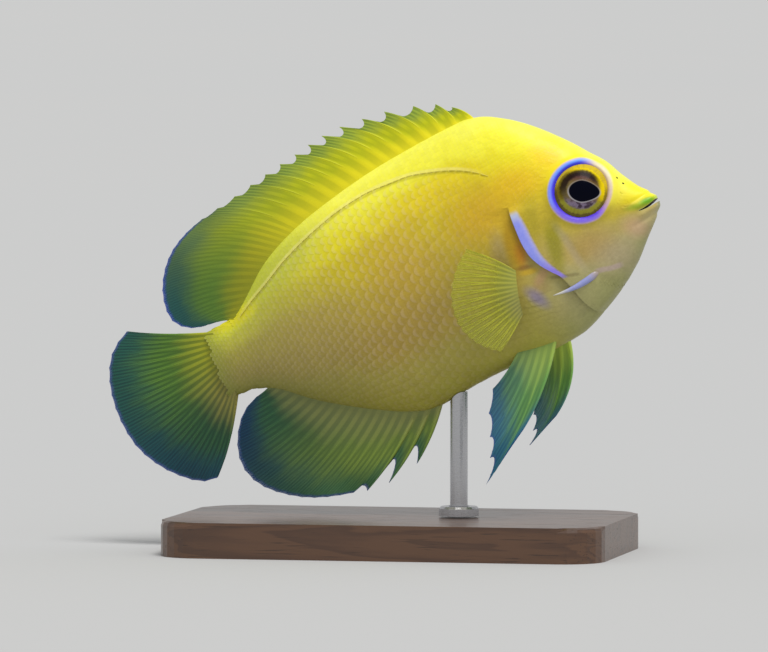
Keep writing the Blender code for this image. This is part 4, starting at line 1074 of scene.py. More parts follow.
def crowded_angles():
    """Angles round the body, closest together at the height of the eyes and on the ridges."""
    fine = np.linspace(-math.pi / 2, math.pi / 2, 800)
    density = 1 + 0.9 * bell(fine - 0.28, 0.42) + 0.5 * bell(np.abs(fine) - math.pi / 2, 0.3)
    total = np.concatenate([[0], np.cumsum((density[1:] + density[:-1]) / 2)])
    half = np.interp(np.linspace(0, total[-1], SKIN_AROUND + 1), total, fine)
    return np.concatenate([half, math.pi - half[-2:0:-1]])


def skin_rings():
    """Rings as (x, extra height, window share) from the snout to the stalk, with the gill slit's tuck."""
    angles = crowded_angles()
    lift = np.sin(angles)
    edge = gill_edge(lift)
    window = flap_window(lift)
    rings = []
    for i in range(HEAD_RINGS + 1):
        share = (i / HEAD_RINGS) ** HEAD_CROWDING
        x = SNOUT_X + (edge - SNOUT_X) * share
        _, z = section(x, lift)
        rings.append((x, head_relief(x, z)))
    across, z = section(edge, lift)
    top = head_relief(edge, z)
    foot = trunk_relief(edge - 0.3, z)
    for ahead, height in SLIT_TUCK:
        x = edge - 0.03 * (len(rings) - HEAD_RINGS) + ahead * window
        rings.append((x, foot + (top - foot) * (height * window + (1 - window))))
    start = edge - 0.2
    for i in range(TRUNK_RINGS + 1):
        share = i / TRUNK_RINGS
        x = start + (STALK_END_X - start) * share
        _, z = section(x, lift)
        rings.append((x, trunk_relief(x, z)))
    return angles, rings


def make_skin(material, lining):
    """One closed skin from lips to tail root, with an open mouth and nostrils."""
    angles, rings = skin_rings()
    points = []
    places = []
    distances = []
    lift = np.sin(angles)
    edge = gill_edge(lift)
    for shrink, ahead in SNOUT_CLOSING:
        x = np.full_like(angles, SNOUT_X)
        ring = bare(x, angles)
        middle = np.array([SNOUT_X, 0.0, float(widest_level(SNOUT_X))])
        ring = middle + (ring - middle) * shrink
        ring[:, 0] += ahead
        points.append(ring)
        places.append(fish_place(x, ring[:, 2]))
        distances.append(x - edge)
    for index, (x, level) in enumerate(rings):
        ring = bare(x, angles) + bare_normal(x, angles) * (level - SKIN_DEPTH)[:, None]
        if index == len(rings) - 1:
            ring[:, 0] = STALK_END_X
        points.append(ring)
        places.append(fish_place(x, ring[:, 2]))
        distances.append(x - edge)
    count = len(angles)
    total = len(points)
    stacked = np.concatenate(points)
    faces = tube_faces(total, count)
    front, back = len(stacked), len(stacked) + 1
    tips = np.array([stacked[:count].mean(0), stacked[-count:].mean(0)])
    for k in range(count):
        after = (k + 1) % count
        faces.append((after, k, front))
        faces.append(((total - 1) * count + k, (total - 1) * count + after, back))
    stacked = np.concatenate([stacked, tips])
    made = mesh_object("skin", on_stand(stacked), faces, material)
    made.data.materials.append(lining)
    outward(made)
    places = np.concatenate(places + [fish_place(tips[:, 0], tips[:, 2])])
    put_attribute(made, "fish_place", "FLOAT_VECTOR", places)
    put_attribute(made, "gill_distance", "FLOAT", np.concatenate(distances + [np.array([20.0, -60.0])]))
    cut_skin(made, lining)
    return made


def cut_skin(skin, lining):
    """Open the mouth as a wedge and sink the nostrils."""
    cutters = []
    outline = []
    for sign in (1, -1):
        for i in range(MOUTH_STEPS + 1):
            t = i / MOUTH_STEPS if sign == 1 else 1 - i / MOUTH_STEPS
            x = GAPE_CORNER_X + (MOUTH_REACH_X - GAPE_CORNER_X) * t
            opened = min(1.0, t * MOUTH_OPENS_BY)
            half = (GAPE_SHUT + (GAPE_OPEN - GAPE_SHUT) * opened) / 2
            outline.append((x, float(gape_z(x)) + sign * half - MOUTH_SAG * math.sin(math.pi * opened)))
    points = [(x, y, z) for y in (-MOUTH_HALF_WIDTH, MOUTH_HALF_WIDTH) for x, z in outline]
    faces = closed_tube_faces(2, len(outline))
    cutters.append(mesh_object("mouth_cutter", on_stand(points), faces, lining, smooth=False))
    for x, z in NOSTRILS:
        for side in (-1, 1):
            angle = angle_at(x, z, side)
            centre = Vector(bare(x, angle))
            normal = Vector(bare_normal(x, angle))
            first = normal.orthogonal().normalized()
            second = normal.cross(first)
            points = []
            for depth in NOSTRIL_DEPTHS:
                for k in range(NOSTRIL_SIDES):
                    a = 2 * math.pi * k / NOSTRIL_SIDES
                    ring = first * math.cos(a) + second * math.sin(a)
                    points.append(centre + ring * NOSTRIL_RADIUS + normal * depth)
            faces = closed_tube_faces(2, NOSTRIL_SIDES)
            cutters.append(mesh_object("nostril_cutter", on_stand(points), faces, lining, smooth=False))
    group = bpy.data.collections.new("skin_cutters")
    bpy.context.scene.collection.children.link(group)
    for cutter in cutters:
        outward(cutter)
        bpy.context.scene.collection.objects.unlink(cutter)
        group.objects.link(cutter)
    step = skin.modifiers.new("openings", "BOOLEAN")
    step.operand_type = "COLLECTION"
    step.collection = group
    step.operation = "DIFFERENCE"
    step.solver = "EXACT"
    take_result(skin)
    for cutter in cutters:
        bpy.data.objects.remove(cutter, do_unlink=True)
    bpy.data.collections.remove(group)
    skin.data.set_sharp_from_angle(angle=math.radians(55))


def take_result(made):
    """Turn the evaluated object into its own plain mesh and drop the modifiers."""
    graph = bpy.context.evaluated_depsgraph_get()
    result = bpy.data.meshes.new_from_object(made.evaluated_get(graph))
    made.modifiers.clear()
    made.data = result
    return made


def eye_frame(side):
    angle = angle_at(EYE_X, EYE_Z, side)
    axis = Vector(bare_normal(EYE_X, angle))
    centre = Vector(bare(EYE_X, angle)) - axis * EYE_SUNK
    ahead = (Vector((1, 0, 0)) - axis * axis.x).normalized()
    up = axis.cross(ahead) * (1 if axis.cross(ahead).z > 0 else -1)
    return centre, axis, ahead, up


def make_eye(name, side, material):
    """The flattened ball of the eye with a domed clear front over the pupil."""
    centre, axis, ahead, up = eye_frame(side)
    sides, rows = EYE_SIDES, EYE_ROWS
    points, local = [], []
    for j in range(rows + 1):
        polar = math.pi * j / rows
        for k in range(sides):
            a = 2 * math.pi * k / sides
            ring = math.sin(polar)
            u = (EYE_RADIUS - GAP) * ring * math.cos(a)
            v = (EYE_RADIUS - GAP) * ring * math.sin(a)
            out = (EYE_DEPTH - GAP) * math.cos(polar)
            if out > 0:
                dome = math.hypot(u - DOME_AHEAD, v)
                out += DOME_RISE * math.exp(-(dome / DOME_WIDTH) ** 2)
            points.append(centre + ahead * u + up * v + axis * out)
            local.append((u, v, out))
    made = mesh_object(name, on_stand(points), tube_faces(rows + 1, sides), material)
    put_attribute(made, "eye_place", "FLOAT_VECTOR", local)
    bm = bmesh.new()
    bm.from_mesh(made.data)
    bmesh.ops.remove_doubles(bm, verts=bm.verts, dist=1e-7)
    bmesh.ops.recalc_face_normals(bm, faces=bm.faces)
    bm.to_mesh(made.data)
    bm.free()
    return made


def make_cheek_spine(name, side, material):
    """The long grooved spine that points back over the gill cover's corner."""
    steps, sides = 18, 12
    points, places = [], []
    centres = []
    for i in range(steps + 1):
        t = i / steps
        x = CHEEK_SPINE_ROOT[0] + (CHEEK_SPINE_TIP[0] - CHEEK_SPINE_ROOT[0]) * t
        z = CHEEK_SPINE_ROOT[1] + (CHEEK_SPINE_TIP[1] - CHEEK_SPINE_ROOT[1]) * t - 0.5 * math.sin(math.pi * t)
        angle = angle_at(x, z, side)
        out = -CHEEK_SPINE_SUNK + (CHEEK_SPINE_LIFT + CHEEK_SPINE_SUNK + FLAP_RISE) * t
        normal = bare_normal(x, angle)
        centres.append((Vector(bare(x, angle) + normal * out), Vector(normal), x, z))
    along = (centres[-1][0] - centres[0][0]).normalized()
    for i, (centre, normal, x, z) in enumerate(centres):
        t = i / steps
        blunt = min(1.0, 0.55 + 3.0 * t)
        radius = CHEEK_SPINE_RADIUS * blunt * (1 - 0.92 * t ** 1.5)
        flat = normal - along * normal.dot(along)
        flat.normalize()
        other = along.cross(flat)
        for k in range(sides):
            a = 2 * math.pi * k / sides
            points.append(centre + flat * (radius * 0.8 * math.cos(a)) + other * (radius * math.sin(a)))
            places.append((x, z, 0.3))
    made = mesh_object(name, on_stand(points), closed_tube_faces(steps + 1, sides), material)
    put_attribute(made, "fish_place", "FLOAT_VECTOR", places)
    outward(made)
    return made


# Scales

def scale_shape(name, rows, columns):
    """One thin plate, 1 long and 1 wide, its root at the origin and its round edge at +1."""
    points = []
    for along, half in rows:
        for k in range(columns):
            share = 2 * k / (columns - 1) - 1
            bulge = 0.06 * (1 - share * share) if along == 1.0 else 0.0
            crown = 0.02 * (1 - share * share)
            points.append((along + bulge, share * half, crown))
    top = len(points)
    rim = [k for k in range(columns)]
    rim += [r * columns + columns - 1 for r in range(1, len(rows))]
    rim += [(len(rows) - 1) * columns + k for k in range(columns - 2, -1, -1)]
    rim += [r * columns for r in range(len(rows) - 2, 0, -1)]
    faces = []
    for r in range(len(rows) - 1):
        for k in range(columns - 1):
            a = r * columns + k
            faces.append((a, a + 1, a + columns + 1, a + columns))
    for index in rim:
        x, y, z = points[index]
        points.append((x * 0.985, y * 0.97, z - 0.07))
    for i in range(len(rim)):
        j = (i + 1) % len(rim)
        faces.append((rim[j], rim[i], top + i, top + j))
    faces.append(tuple(top + i for i in range(len(rim))))
    made = mesh_object(name, points, faces, None)
    put_attribute(made, "along", "FLOAT", [p[0] for p in points])
    put_attribute(made, "across", "FLOAT", [p[1] for p in points])
    outward(made)
    made.data.set_sharp_from_angle(angle=math.radians(40))
    made.hide_render = True
    return made


def geometry_tree(name, inputs):
    """A Geometry Nodes tree that takes and gives geometry, with further (name, kind) inputs."""
    tree = bpy.data.node_groups.new(name, "GeometryNodeTree")
    for label, kind in [("Geometry", "Geometry")] + inputs:
        tree.interface.new_socket(label, in_out="INPUT", socket_type="NodeSocket" + kind)
    tree.interface.new_socket("Geometry", in_out="OUTPUT", socket_type="NodeSocketGeometry")
    net = Net(tree)
    return net, net.add("NodeGroupInput").outputs, net.add("NodeGroupOutput").inputs[0]


def named_value(net, name, kind="FLOAT"):
    return net.add("GeometryNodeInputNamedAttribute", {"Name": name}, data_type=kind).outputs["Attribute"]


def scale_tree():
    """Lays one plate at each point, along its own direction, and gives each its patch of the map."""
    net, given, result = geometry_tree("lay_scales", [
        ("Plate", "Object"), ("Patch", "Float"), ("Size Spread", "Float"), ("Seed", "Int"),
        ("Finish", "Material")])
    named = {label: named_value(net, label, "FLOAT_VECTOR") for label in ("lie", "out", "size", "map_place")}
    named.update({label: named_value(net, label) for label in ("along", "across", "round", "droop")})
    plate = net.add("GeometryNodeObjectInfo", {"Object": given["Plate"]}).outputs["Geometry"]
    first = net.add("FunctionNodeAlignRotationToVector", {"Vector": named["out"]}, axis="Z")
    turn = net.add("FunctionNodeAlignRotationToVector",
                   {"Rotation": first.outputs[0], "Vector": named["lie"]}, axis="X", pivot_axis="Z")
    low = net.minus(1.0, given["Size Spread"])
    high = net.plus(1.0, given["Size Spread"])
    spread = net.add("FunctionNodeRandomValue", {"Seed": given["Seed"], 2: low, 3: high}, data_type="FLOAT")
    size = net.add("ShaderNodeVectorMath", {"Vector": named["size"], "Scale": spread.outputs[1]},
                   operation="SCALE")
    lay = net.add("GeometryNodeInstanceOnPoints", {"Points": given["Geometry"], "Instance": plate,
                                                   "Rotation": turn.outputs[0], "Scale": size.outputs[0]})
    real = net.add("GeometryNodeRealizeInstances", {"Geometry": lay.outputs[0]})
    squared = net.times(named["across"], named["across"])
    length = net.times(net.times(named["along"], named["along"]), named["droop"])
    sag = net.times(net.scaled(squared, named["round"], length), -1.0)
    drop = net.add("ShaderNodeVectorMath", {"Vector": named["out"], "Scale": sag}, operation="SCALE")
    shaped = net.add("GeometryNodeSetPosition", {"Geometry": real.outputs[0], "Offset": drop.outputs[0]})
    local = net.joined(named["along"], named["across"])
    patch = net.add("ShaderNodeVectorMath", {"Vector": local, "Scale": given["Patch"]}, operation="SCALE")
    map_place = net.add("ShaderNodeVectorMath", {0: named["map_place"], 1: patch.outputs[0]}, operation="ADD")
    store = net.add("GeometryNodeStoreNamedAttribute", {"Geometry": shaped.outputs[0], "Name": "OFBake"},
                    data_type="FLOAT2", domain="CORNER")
    net.feed(store.inputs["Value"], map_place.outputs[0])
    finish = net.add("GeometryNodeSetMaterial", {"Geometry": store.outputs[0], "Material": given["Finish"]})
    net.feed(result, finish.outputs[0])
    return net.tree


def set_inputs(modifier, tree, values):
    """Give a Geometry Nodes modifier its inputs, by the sockets' identifiers."""
    for item in tree.interface.items_tree:
        if item.item_type == "SOCKET" and item.in_out == "INPUT" and item.name in values:
            modifier[item.identifier] = values[item.name]


def arc_tables():
    """Arc length up from the widest level over one flank, against lift, at each step of x."""
    lifts = np.sin(np.linspace(-math.pi / 2, math.pi / 2, 241))
    tables = []
    for x in np.arange(STALK_END_X, SNOUT_X, TABLE_STEP):
        across, z = section(np.full_like(lifts, x), lifts)
        arc = np.concatenate([[0], np.cumsum(np.hypot(np.diff(across), np.diff(z)))])
        tables.append(arc - np.interp(0.0, lifts, arc))
    return lifts, tables


crescent_at = curve_through(CRESCENT)


def zone_at(x, z, lift):
    """The scale zone of a place on the body."""
    if z > float(side_line(x)) or (lift > FLAP_TOP + 0.5 * FLAP_FADE and x > SIDE_LINE[0][0]):
        return "back"
    return "cheek" if x > float(gill_edge(lift)) - 0.1 else "flank"


def smooth_place(x, z, length):
    """True where the skin carries no scales: lips, ring of the eye, gill band and the spine's root."""
    middle = x - 0.5 * length
    if x > -3.4 - 0.25 * abs(z - 3.0) or math.hypot(middle - EYE_X, z - EYE_Z) < 6.8:
        return True
    if BAND_FOOT - 0.6 < z < BAND_TOP + 0.6 and x - length < float(band_front(z)) + 0.15:
        return True
    return -21.0 < middle < -12.0 and abs(z + 7.6) < 0.9


def scale_points(zone, draw):
    """Places of the scales on one flank: (x, lift, z, column step, row step, crescent, tilt)."""
    lifts, tables = arc_tables()
    steps, start, end, tilt = SCALE_ZONES[zone]
    step_at = curve_through(steps)
    lean = 0.0 if zone == "cheek" else COLUMN_LEAN
    found = []
    foot = start + COLUMN_MARGIN
    odd = 0.0
    while foot > end - COLUMN_MARGIN:
        column = float(step_at(foot))
        row = ROW_SHARE * column
        rows = int(HALF_GIRTH / row)
        for k in range(-rows, rows + 1):
            level = (k + odd) * row + draw.uniform(-SCALE_JITTER, SCALE_JITTER) * row
            x = foot - lean * level + draw.uniform(-SCALE_JITTER, SCALE_JITTER) * column
            if not end <= x <= start:
                continue
            table = tables[int(np.clip(round((x - STALK_END_X) / TABLE_STEP), 0, len(tables) - 1))]
            crowding = ROW_CROWDING * abs(level) / table[-1]
            arc = level * (1 - crowding)
            if not table[0] + 0.3 < arc < table[-1] - 0.2:
                continue
            lift = float(np.interp(arc, table, lifts))
            z = float(section(x, lift)[1])
            length = PLATE_LENGTH * column
            if zone_at(x, z, lift) != zone or (x > HEAD_FROM_X and smooth_place(x, z, length)):
                continue
            over_edge = x - length < float(gill_edge(lift)) - 0.05
            if zone == "cheek" and lift < FLAP_TOP + FLAP_FADE and over_edge:
                continue
            pale = float(crescent_at(x)) if zone == "flank" else BACK_CRESCENT
            pale *= 1 - 0.5 * float(smooth_step(-0.45, -0.8, lift))
            if zone == "cheek":
                pale = CHEEK_CRESCENT
            found.append((x, lift, z, column, row * (1 - 2 * crowding), pale, tilt))
        foot -= column
        odd = 0.5 - odd
    return found


def make_scales(name, side, zone, plate, tree, material):
    """Overlapping plates over one flank, each following the surface it lies on."""
    draw = random.Random(11)
    found = scale_points(zone, draw)
    x, lift, z, column, row, crescent, tilt = (np.array(values) for values in zip(*found))
    angle = np.arcsin(lift)
    length = PLATE_LENGTH * column
    width = PLATE_WIDTH * row
    thin = (column / FULL_STEP) ** 0.7
    if side == 1:
        angle = math.pi - angle

    def surface(px, pa):
        points = bare(px, pa)
        return points + bare_normal(px, pa) * (relief(px, points[..., 2]) - SKIN_DEPTH)[:, None]

    level = surface(x, angle)
    here = swept(level)
    middle = swept(surface(x - 0.5 * length, angle))
    end = swept(surface(x - length, angle))
    above = swept(surface(x, angle + 0.02))
    under = swept(surface(x, angle - 0.02))
    upward = above - under
    outside = np.cross(upward, end - here)
    outside /= np.linalg.norm(outside, axis=1, keepdims=True)
    facing = np.sum(outside * bare_normal(x, angle), axis=1) < 0
    outside[facing] *= -1
    # A plate bends with the skin under its middle and its end, its round edge lifted a little
    bend = 4 * np.sum((middle - (here + end) / 2) * outside, axis=1)
    lie = end - here + outside * (bend + tilt * length)[:, None]
    lie /= np.linalg.norm(lie, axis=1, keepdims=True)
    out = outside - lie * np.sum(outside * lie, axis=1)[:, None]
    out /= np.linalg.norm(out, axis=1, keepdims=True)
    bend_round = -np.sum((above + under - 2 * here) * outside, axis=1)
    bend_round = np.clip(bend_round / (np.linalg.norm(upward, axis=1) / 2) ** 2, -0.05, 0.35)
    root = level + outside * (ROOT_LIFT * thin)[:, None]
    made = mesh_object(name, on_stand(root), [], material)
    map_u = 0.03 + 0.92 * (x - STALK_END_X) / (SNOUT_X - STALK_END_X)
    map_v = 0.02 + 0.96 * (angle + math.pi / 2) / (2 * math.pi)
    vectors = {"lie": turned(lie), "out": turned(out), "size": np.stack([length, width, thin], axis=1) * MM,
               "map_place": np.stack([map_u, map_v, 0 * map_u], axis=1), "fish_place": fish_place(x, z)}
    numbers = {"round": 0.5 * bend_round * width ** 2 * MM, "droop": bend * MM, "gill_distance": x,
               "crescent": crescent, "tone": [draw.random() for _ in found]}
    for kind, values in (("FLOAT_VECTOR", vectors), ("FLOAT", numbers)):
        for label, given in values.items():
            put_attribute(made, label, kind, given)
    modifier = made.modifiers.new("scales", "NODES")
    modifier.node_group = tree
    set_inputs(modifier, tree, {"Plate": plate, "Patch": SCALE_PATCH, "Size Spread": 0.04, "Seed": 7,
                                "Finish": material})
    take_result(made)
    place_again(made)
    return made


def place_again(made):
    """Give every point of the plates its own place for the markings, so that lines run on across them."""
    points = np.zeros(len(made.data.vertices) * 3)
    made.data.vertices.foreach_get("co", points)
    ahead, _, height = points.reshape(-1, 3).T / MM
    ahead = ahead - SNOUT_FORWARD
    height = height - SNOUT_HEIGHT
    x = ahead * math.cos(PITCH) + height * math.sin(PITCH)
    z = height * math.cos(PITCH) - ahead * math.sin(PITCH)
    places = fish_place(x, z)
    places[:, 2] = np.clip(places[:, 2], 0.0, 1.0)
    made.data.attributes["fish_place"].data.foreach_set("vector", places.astype(np.float32).ravel())
    edge = x - gill_edge(lift_at(x, z))
    made.data.attributes["gill_distance"].data.foreach_set("value", edge.astype(np.float32))


def side_line_tubes(side):
    """Short raised tubes along the side line, one to a scale."""
    lines = []
    x = TUBES_FROM_X
    while x > TUBES_TO_X:
        points, radii, places = [], [], []
        for k in range(TUBE_STEPS + 1):
            t = k / TUBE_STEPS
            px = np.array([x - TUBE_LENGTH * t])
            z = side_line(px) + 0.1
            angle = angle_at(px, z, side)
            rise = trunk_relief(px, z) + 0.02 + 0.06 * t
            points.append((bare(px, angle) + bare_normal(px, angle) * rise[:, None])[0])
            radii.append(0.045 + 0.035 * t)
            places.append((0.0, t, 0.0))
        lines.append((points, radii, places))
        x -= TUBE_SPACING
    return lines


# Fins

def points_along(points, count):
    """Evenly spaced points on a smooth curve through the given ones."""
    padded = [points[0]] + list(points) + [points[-1]]
    track = []
    for i in range(1, len(padded) - 2):
        a, b, c, d = (Vector(p) for p in padded[i - 1:i + 3])
        for k in range(12):
            t = k / 12
            track.append(0.5 * (2 * b + (c - a) * t + (2 * a - 5 * b + 4 * c - d) * t ** 2
                                + (3 * b - a - 3 * c + d) * t ** 3))
    track.append(Vector(points[-1]))
    lengths = [0.0]
    for before, after in zip(track, track[1:]):
        lengths.append(lengths[-1] + (after - before).length)
    chosen = []
    for i in range(count):
        target = lengths[-1] * i / (count - 1)
        k = min(bisect.bisect_right(lengths, target) - 1, len(track) - 2)
        t = (target - lengths[k]) / (lengths[k + 1] - lengths[k])
        chosen.append(track[k].lerp(track[k + 1], t))
    return chosen


class Ray:
    """One spine or soft ray: a bowed line from its root to its tip."""

    def __init__(self, root, tip, bow, spine=False):
        self.root = np.array(root, float)
        self.tip = np.array(tip, float)
        self.middle = (self.root + self.tip) / 2 + np.array(bow, float)
        self.spine = spine

    def at(self, t):
        return self.root * (1 - t) ** 2 + self.middle * 2 * t * (1 - t) + self.tip * t * t


class Fin:
    """A sheet over a row of rays. reaches gives the share of the rays that the web covers in each gap."""

    def __init__(self, rays, reaches):
        self.rays = rays
        self.reaches = reaches

    def at(self, u, t):
        i = min(int(u), len(self.rays) - 2)
        f = u - i
        point = self.rays[i].at(t) * (1 - f) + self.rays[i + 1].at(t) * f
        wave = math.sin(point[0] * RIPPLE_ALONG) * math.cos(point[2] * RIPPLE_UP)
        point[1] += RIPPLE * wave * t * t
        return point

    def reach(self, u):
        i = min(int(u), len(self.rays) - 2)
        f = u - i
        notch = self.reaches[i]
        spiny = self.rays[i].spine
        curve = abs(2 * f - 1) ** 2.5 if not spiny else (1 - f) ** 2 + 0.14 * f ** 8
        return notch + (1.0 - notch) * min(1.0, curve)


def flat_point(pair):
    return (pair[0], 0.0, pair[1])


def dorsal_fin():
    spines = len(DORSAL_SPINE_TIPS)
    tips = [Vector(flat_point(p)) for p in DORSAL_SPINE_TIPS]
    tips += points_along([flat_point(p) for p in DORSAL_MARGIN], DORSAL_RAYS)
    step = (DORSAL_LAST_SPINE_X - DORSAL_FIRST_X) / (spines - 1)
    roots = [DORSAL_FIRST_X + step * i for i in range(spines)]
    step = (DORSAL_END_X - DORSAL_LAST_SPINE_X) / DORSAL_RAYS
    roots += [DORSAL_LAST_SPINE_X + step * (i + 1) for i in range(DORSAL_RAYS)]
    rays = []
    for i, (x, tip) in enumerate(zip(roots, tips)):
        root = Vector((x, 0.0, float(back_line(x))))
        along = tip - root
        root -= along.normalized() * 1.0
        bow = DORSAL_SPINE_BOW + (DORSAL_RAY_BOW - DORSAL_SPINE_BOW) * i / (len(tips) - 1)
        rays.append(Ray(root, tip, Vector((along.z, 0.0, -along.x)) * bow, i < spines))
    reaches = []
    for i in range(len(rays) - 1):
        share = min(1.0, i / (spines - 1)) ** 0.8
        notch = DORSAL_NOTCH_FRONT + (DORSAL_NOTCH_BACK - DORSAL_NOTCH_FRONT) * share
        reaches.append(notch if i < spines else 0.995)
    return Fin(rays, reaches)


def anal_fin():
    tips = [Vector(flat_point(p)) for p in ANAL_SPINE_TIPS]
    tips += points_along([flat_point(p) for p in ANAL_MARGIN], ANAL_RAYS)
    step = (ANAL_END_X - ANAL_FIRST_RAY_X) / (ANAL_RAYS - 1)
    roots = ANAL_SPINE_ROOTS + [ANAL_FIRST_RAY_X + step * i for i in range(ANAL_RAYS)]
    rays = []
    for i, (x, tip) in enumerate(zip(roots, tips)):
        root = Vector((x, 0.0, float(belly_line(x))))
        along = tip - root
        root -= along.normalized() * 1.0
        rays.append(Ray(root, tip, Vector((along.z, 0.0, -along.x)) * ANAL_BOW, i < 3))
    return Fin(rays, ANAL_NOTCHES + [0.995] * (ANAL_RAYS - 1))


def tail_fin():
    tips = points_along([flat_point(p) for p in TAIL_MARGIN], TAIL_RAYS)
    rays = []
    for i, tip in enumerate(tips):
        share = i / (TAIL_RAYS - 1)
        z = TAIL_ROOT_TOP_Z + (TAIL_ROOT_FOOT_Z - TAIL_ROOT_TOP_Z) * share
        root = Vector((STALK_END_X + 0.8, 0.0, z * 0.97))
        rays.append(Ray(root, tip, (0.0, 0.0, TAIL_BOW_TOP + (TAIL_BOW_FOOT - TAIL_BOW_TOP) * share)))
    return Fin(rays, [0.995] * (TAIL_RAYS - 1))


def pectoral_fin(side, tips):
    top = Vector(flat_point(PECTORAL_ROOT_TOP))
    foot = Vector(flat_point(PECTORAL_ROOT_FOOT))
    ends = points_along([(x, side * out, z) for x, out, z in tips], PECTORAL_RAYS)
    rays = []
    for i, tip in enumerate(ends):
        place = top.lerp(foot, i / (PECTORAL_RAYS - 1))
        lift = lift_at(place.x, place.z)
        across, _ = section(place.x, lift)
        place.y = side * float(across + trunk_relief(place.x, place.z))
        backward = Vector((tip.x - place.x, tip.y - place.y, 0.0)).normalized()
        hollow = Vector((abs(backward.y), side * abs(backward.x), 0.0))
        rays.append(Ray(place - backward * PECTORAL_SUNK * 0.7, tip, hollow * PECTORAL_CAMBER))
    return Fin(rays, [0.98] * (PECTORAL_RAYS - 1))


def pelvic_fin(side, root, tips, bow):
    front, back = [Vector((x, side * out, 0.0)) for x, out in root]
    rays = []
    for i, (x, out, z) in enumerate(tips):
        place = front.lerp(back, i / (len(tips) - 1))
        level = float(widest_level(place.x))
        spread = abs(place.y) / float(half_width(place.x))
        fullness = float(belly_fullness(place.x))
        drop = (1 - spread ** fullness) ** (1 / fullness)
        place.z = level - drop * (level - float(belly_line(place.x))) + 0.8
        tip = Vector((x, side * out, z))
        along = tip - place
        rays.append(Ray(place, tip, Vector((-along.z, 0.0, along.x)) * bow, i == 0))
    return Fin(rays, BELLY_FIN_REACHES)


def make_web(name, fin, material, per_gap, root_half):
    """The membrane: a thin closed sheet that thickens into the body at its root."""
    rows = WEB_ROWS
    body_half, edge_half = WEB_HALF
    count = (len(fin.rays) - 1) * per_gap
    centre = np.zeros((count + 1, rows + 1, 3))
    place = np.zeros((count + 1, rows + 1, 3))
    half = np.zeros((count + 1, rows + 1))
    for c in range(count + 1):
        u = c / per_gap
        reach = fin.reach(min(u, len(fin.rays) - 1 - 1e-6)) if c % per_gap else 1.0
        for r in range(rows + 1):
            t = r / rows
            centre[c, r] = fin.at(min(u, len(fin.rays) - 1 - 1e-6), t * reach)
            place[c, r] = (u / (len(fin.rays) - 1), t, 0.0)
            half[c, r] = body_half + (edge_half - body_half) * t + (root_half - body_half) * (1 - t) ** 6
    du = np.gradient(centre, axis=0)
    dt = np.gradient(centre, axis=1)
    normal = np.cross(du, dt)
    normal /= np.maximum(np.linalg.norm(normal, axis=2, keepdims=True), 1e-9)
    over = centre + normal * half[..., None]
    under = centre - normal * half[..., None]
    points = np.concatenate([over.reshape(-1, 3), under.reshape(-1, 3)])
    places = np.concatenate([place.reshape(-1, 3)] * 2)
    wide = rows + 1
    base = (count + 1) * wide
    faces = []
    for c in range(count):
        for r in range(rows):
            a = c * wide + r
            faces.append((a, a + wide, a + wide + 1, a + 1))
            faces.append((base + a + 1, base + a + wide + 1, base + a + wide, base + a))
    rim = [c * wide for c in range(count)] + [count * wide + r for r in range(rows)]
    rim += [c * wide + rows for c in range(count, 0, -1)] + [r for r in range(rows, 0, -1)]
    for i, a in enumerate(rim):
        b = rim[(i + 1) % len(rim)]
        faces.append((base + a, base + b, b, a))
    made = mesh_object(name, on_stand(points), faces, material)
    put_attribute(made, "ray_place", "FLOAT_VECTOR", places)
    outward(made)
    made.data.set_sharp_from_angle(angle=math.radians(60))
    return made


def ray_tree():
    """Sweeps a small round section along each line, as thick as the line says."""
    net, given, result = geometry_tree("round_rays", [("Sides", "Int"), ("Finish", "Material")])
    thick = named_value(net, "thick")
    lines = net.add("GeometryNodeMeshToCurve", {"Mesh": given["Geometry"]})
    ring = net.add("GeometryNodeCurvePrimitiveCircle", {"Resolution": given["Sides"], "Radius": 1.0})
    sized = net.add("GeometryNodeSetCurveRadius", {"Curve": lines.outputs[0], "Radius": thick})
    parts = {"Curve": sized.outputs[0], "Profile Curve": ring.outputs[0], "Fill Caps": True}
    round_line = net.add("GeometryNodeCurveToMesh", parts)
    if "Scale" in round_line.inputs:
        net.feed(round_line.inputs["Scale"], thick)
    real = net.add("GeometryNodeRealizeInstances", {"Geometry": round_line.outputs[0]})
    finish = net.add("GeometryNodeSetMaterial", {"Geometry": real.outputs[0], "Material": given["Finish"]})
    net.feed(result, finish.outputs[0])
    return net.tree


def ray_lines(fin, spine_radius, soft_radius):
    """Centre lines of the spines and of the soft rays with their branches, as (points, radii, places)."""
    lines = []
    last = len(fin.rays) - 1

    def line(u_at, start, end, radius_at):
        points, radii, places = [], [], []
        for k in range(RAY_STEPS + 1):
            t = start + (end - start) * k / RAY_STEPS
            u = min(max(u_at(t), 0.0), last - 1e-6)
            points.append(fin.at(u, t))
            radii.append(radius_at(t))
            places.append((u / last, t, 0.0))
        lines.append((points, radii, places))

    for i, ray in enumerate(fin.rays):
        if ray.spine:
            line(lambda t, i=i: i, 0.0, 1.0, lambda t: spine_radius * (1 - t) ** 0.8 + 0.04)
            continue

        def soft(t):
            return soft_radius + (RAY_TIP_RADIUS - soft_radius) * t

        line(lambda t, i=i: i, 0.0, 0.42, soft)
        for half in (-1, 1):
            def first(t, i=i, half=half):
                return i + half * FIRST_FORK * float(smooth_step(0.36, 0.72, t))
            line(first, 0.38, 0.74, lambda t: soft(t) * 0.86)
            for quarter in (-1, 1):
                def second(t, i=i, half=half, quarter=quarter):
                    fork = SECOND_FORK * float(smooth_step(0.7, 1.0, t))
                    return i + half * (FIRST_FORK + fork) + quarter * fork
                reach = fin.reach(min(max(second(1.0), 0.0), last - 1e-6))
                line(second, 0.7, min(BRANCH_END, reach), lambda t: soft(t) * 0.72)
    return lines


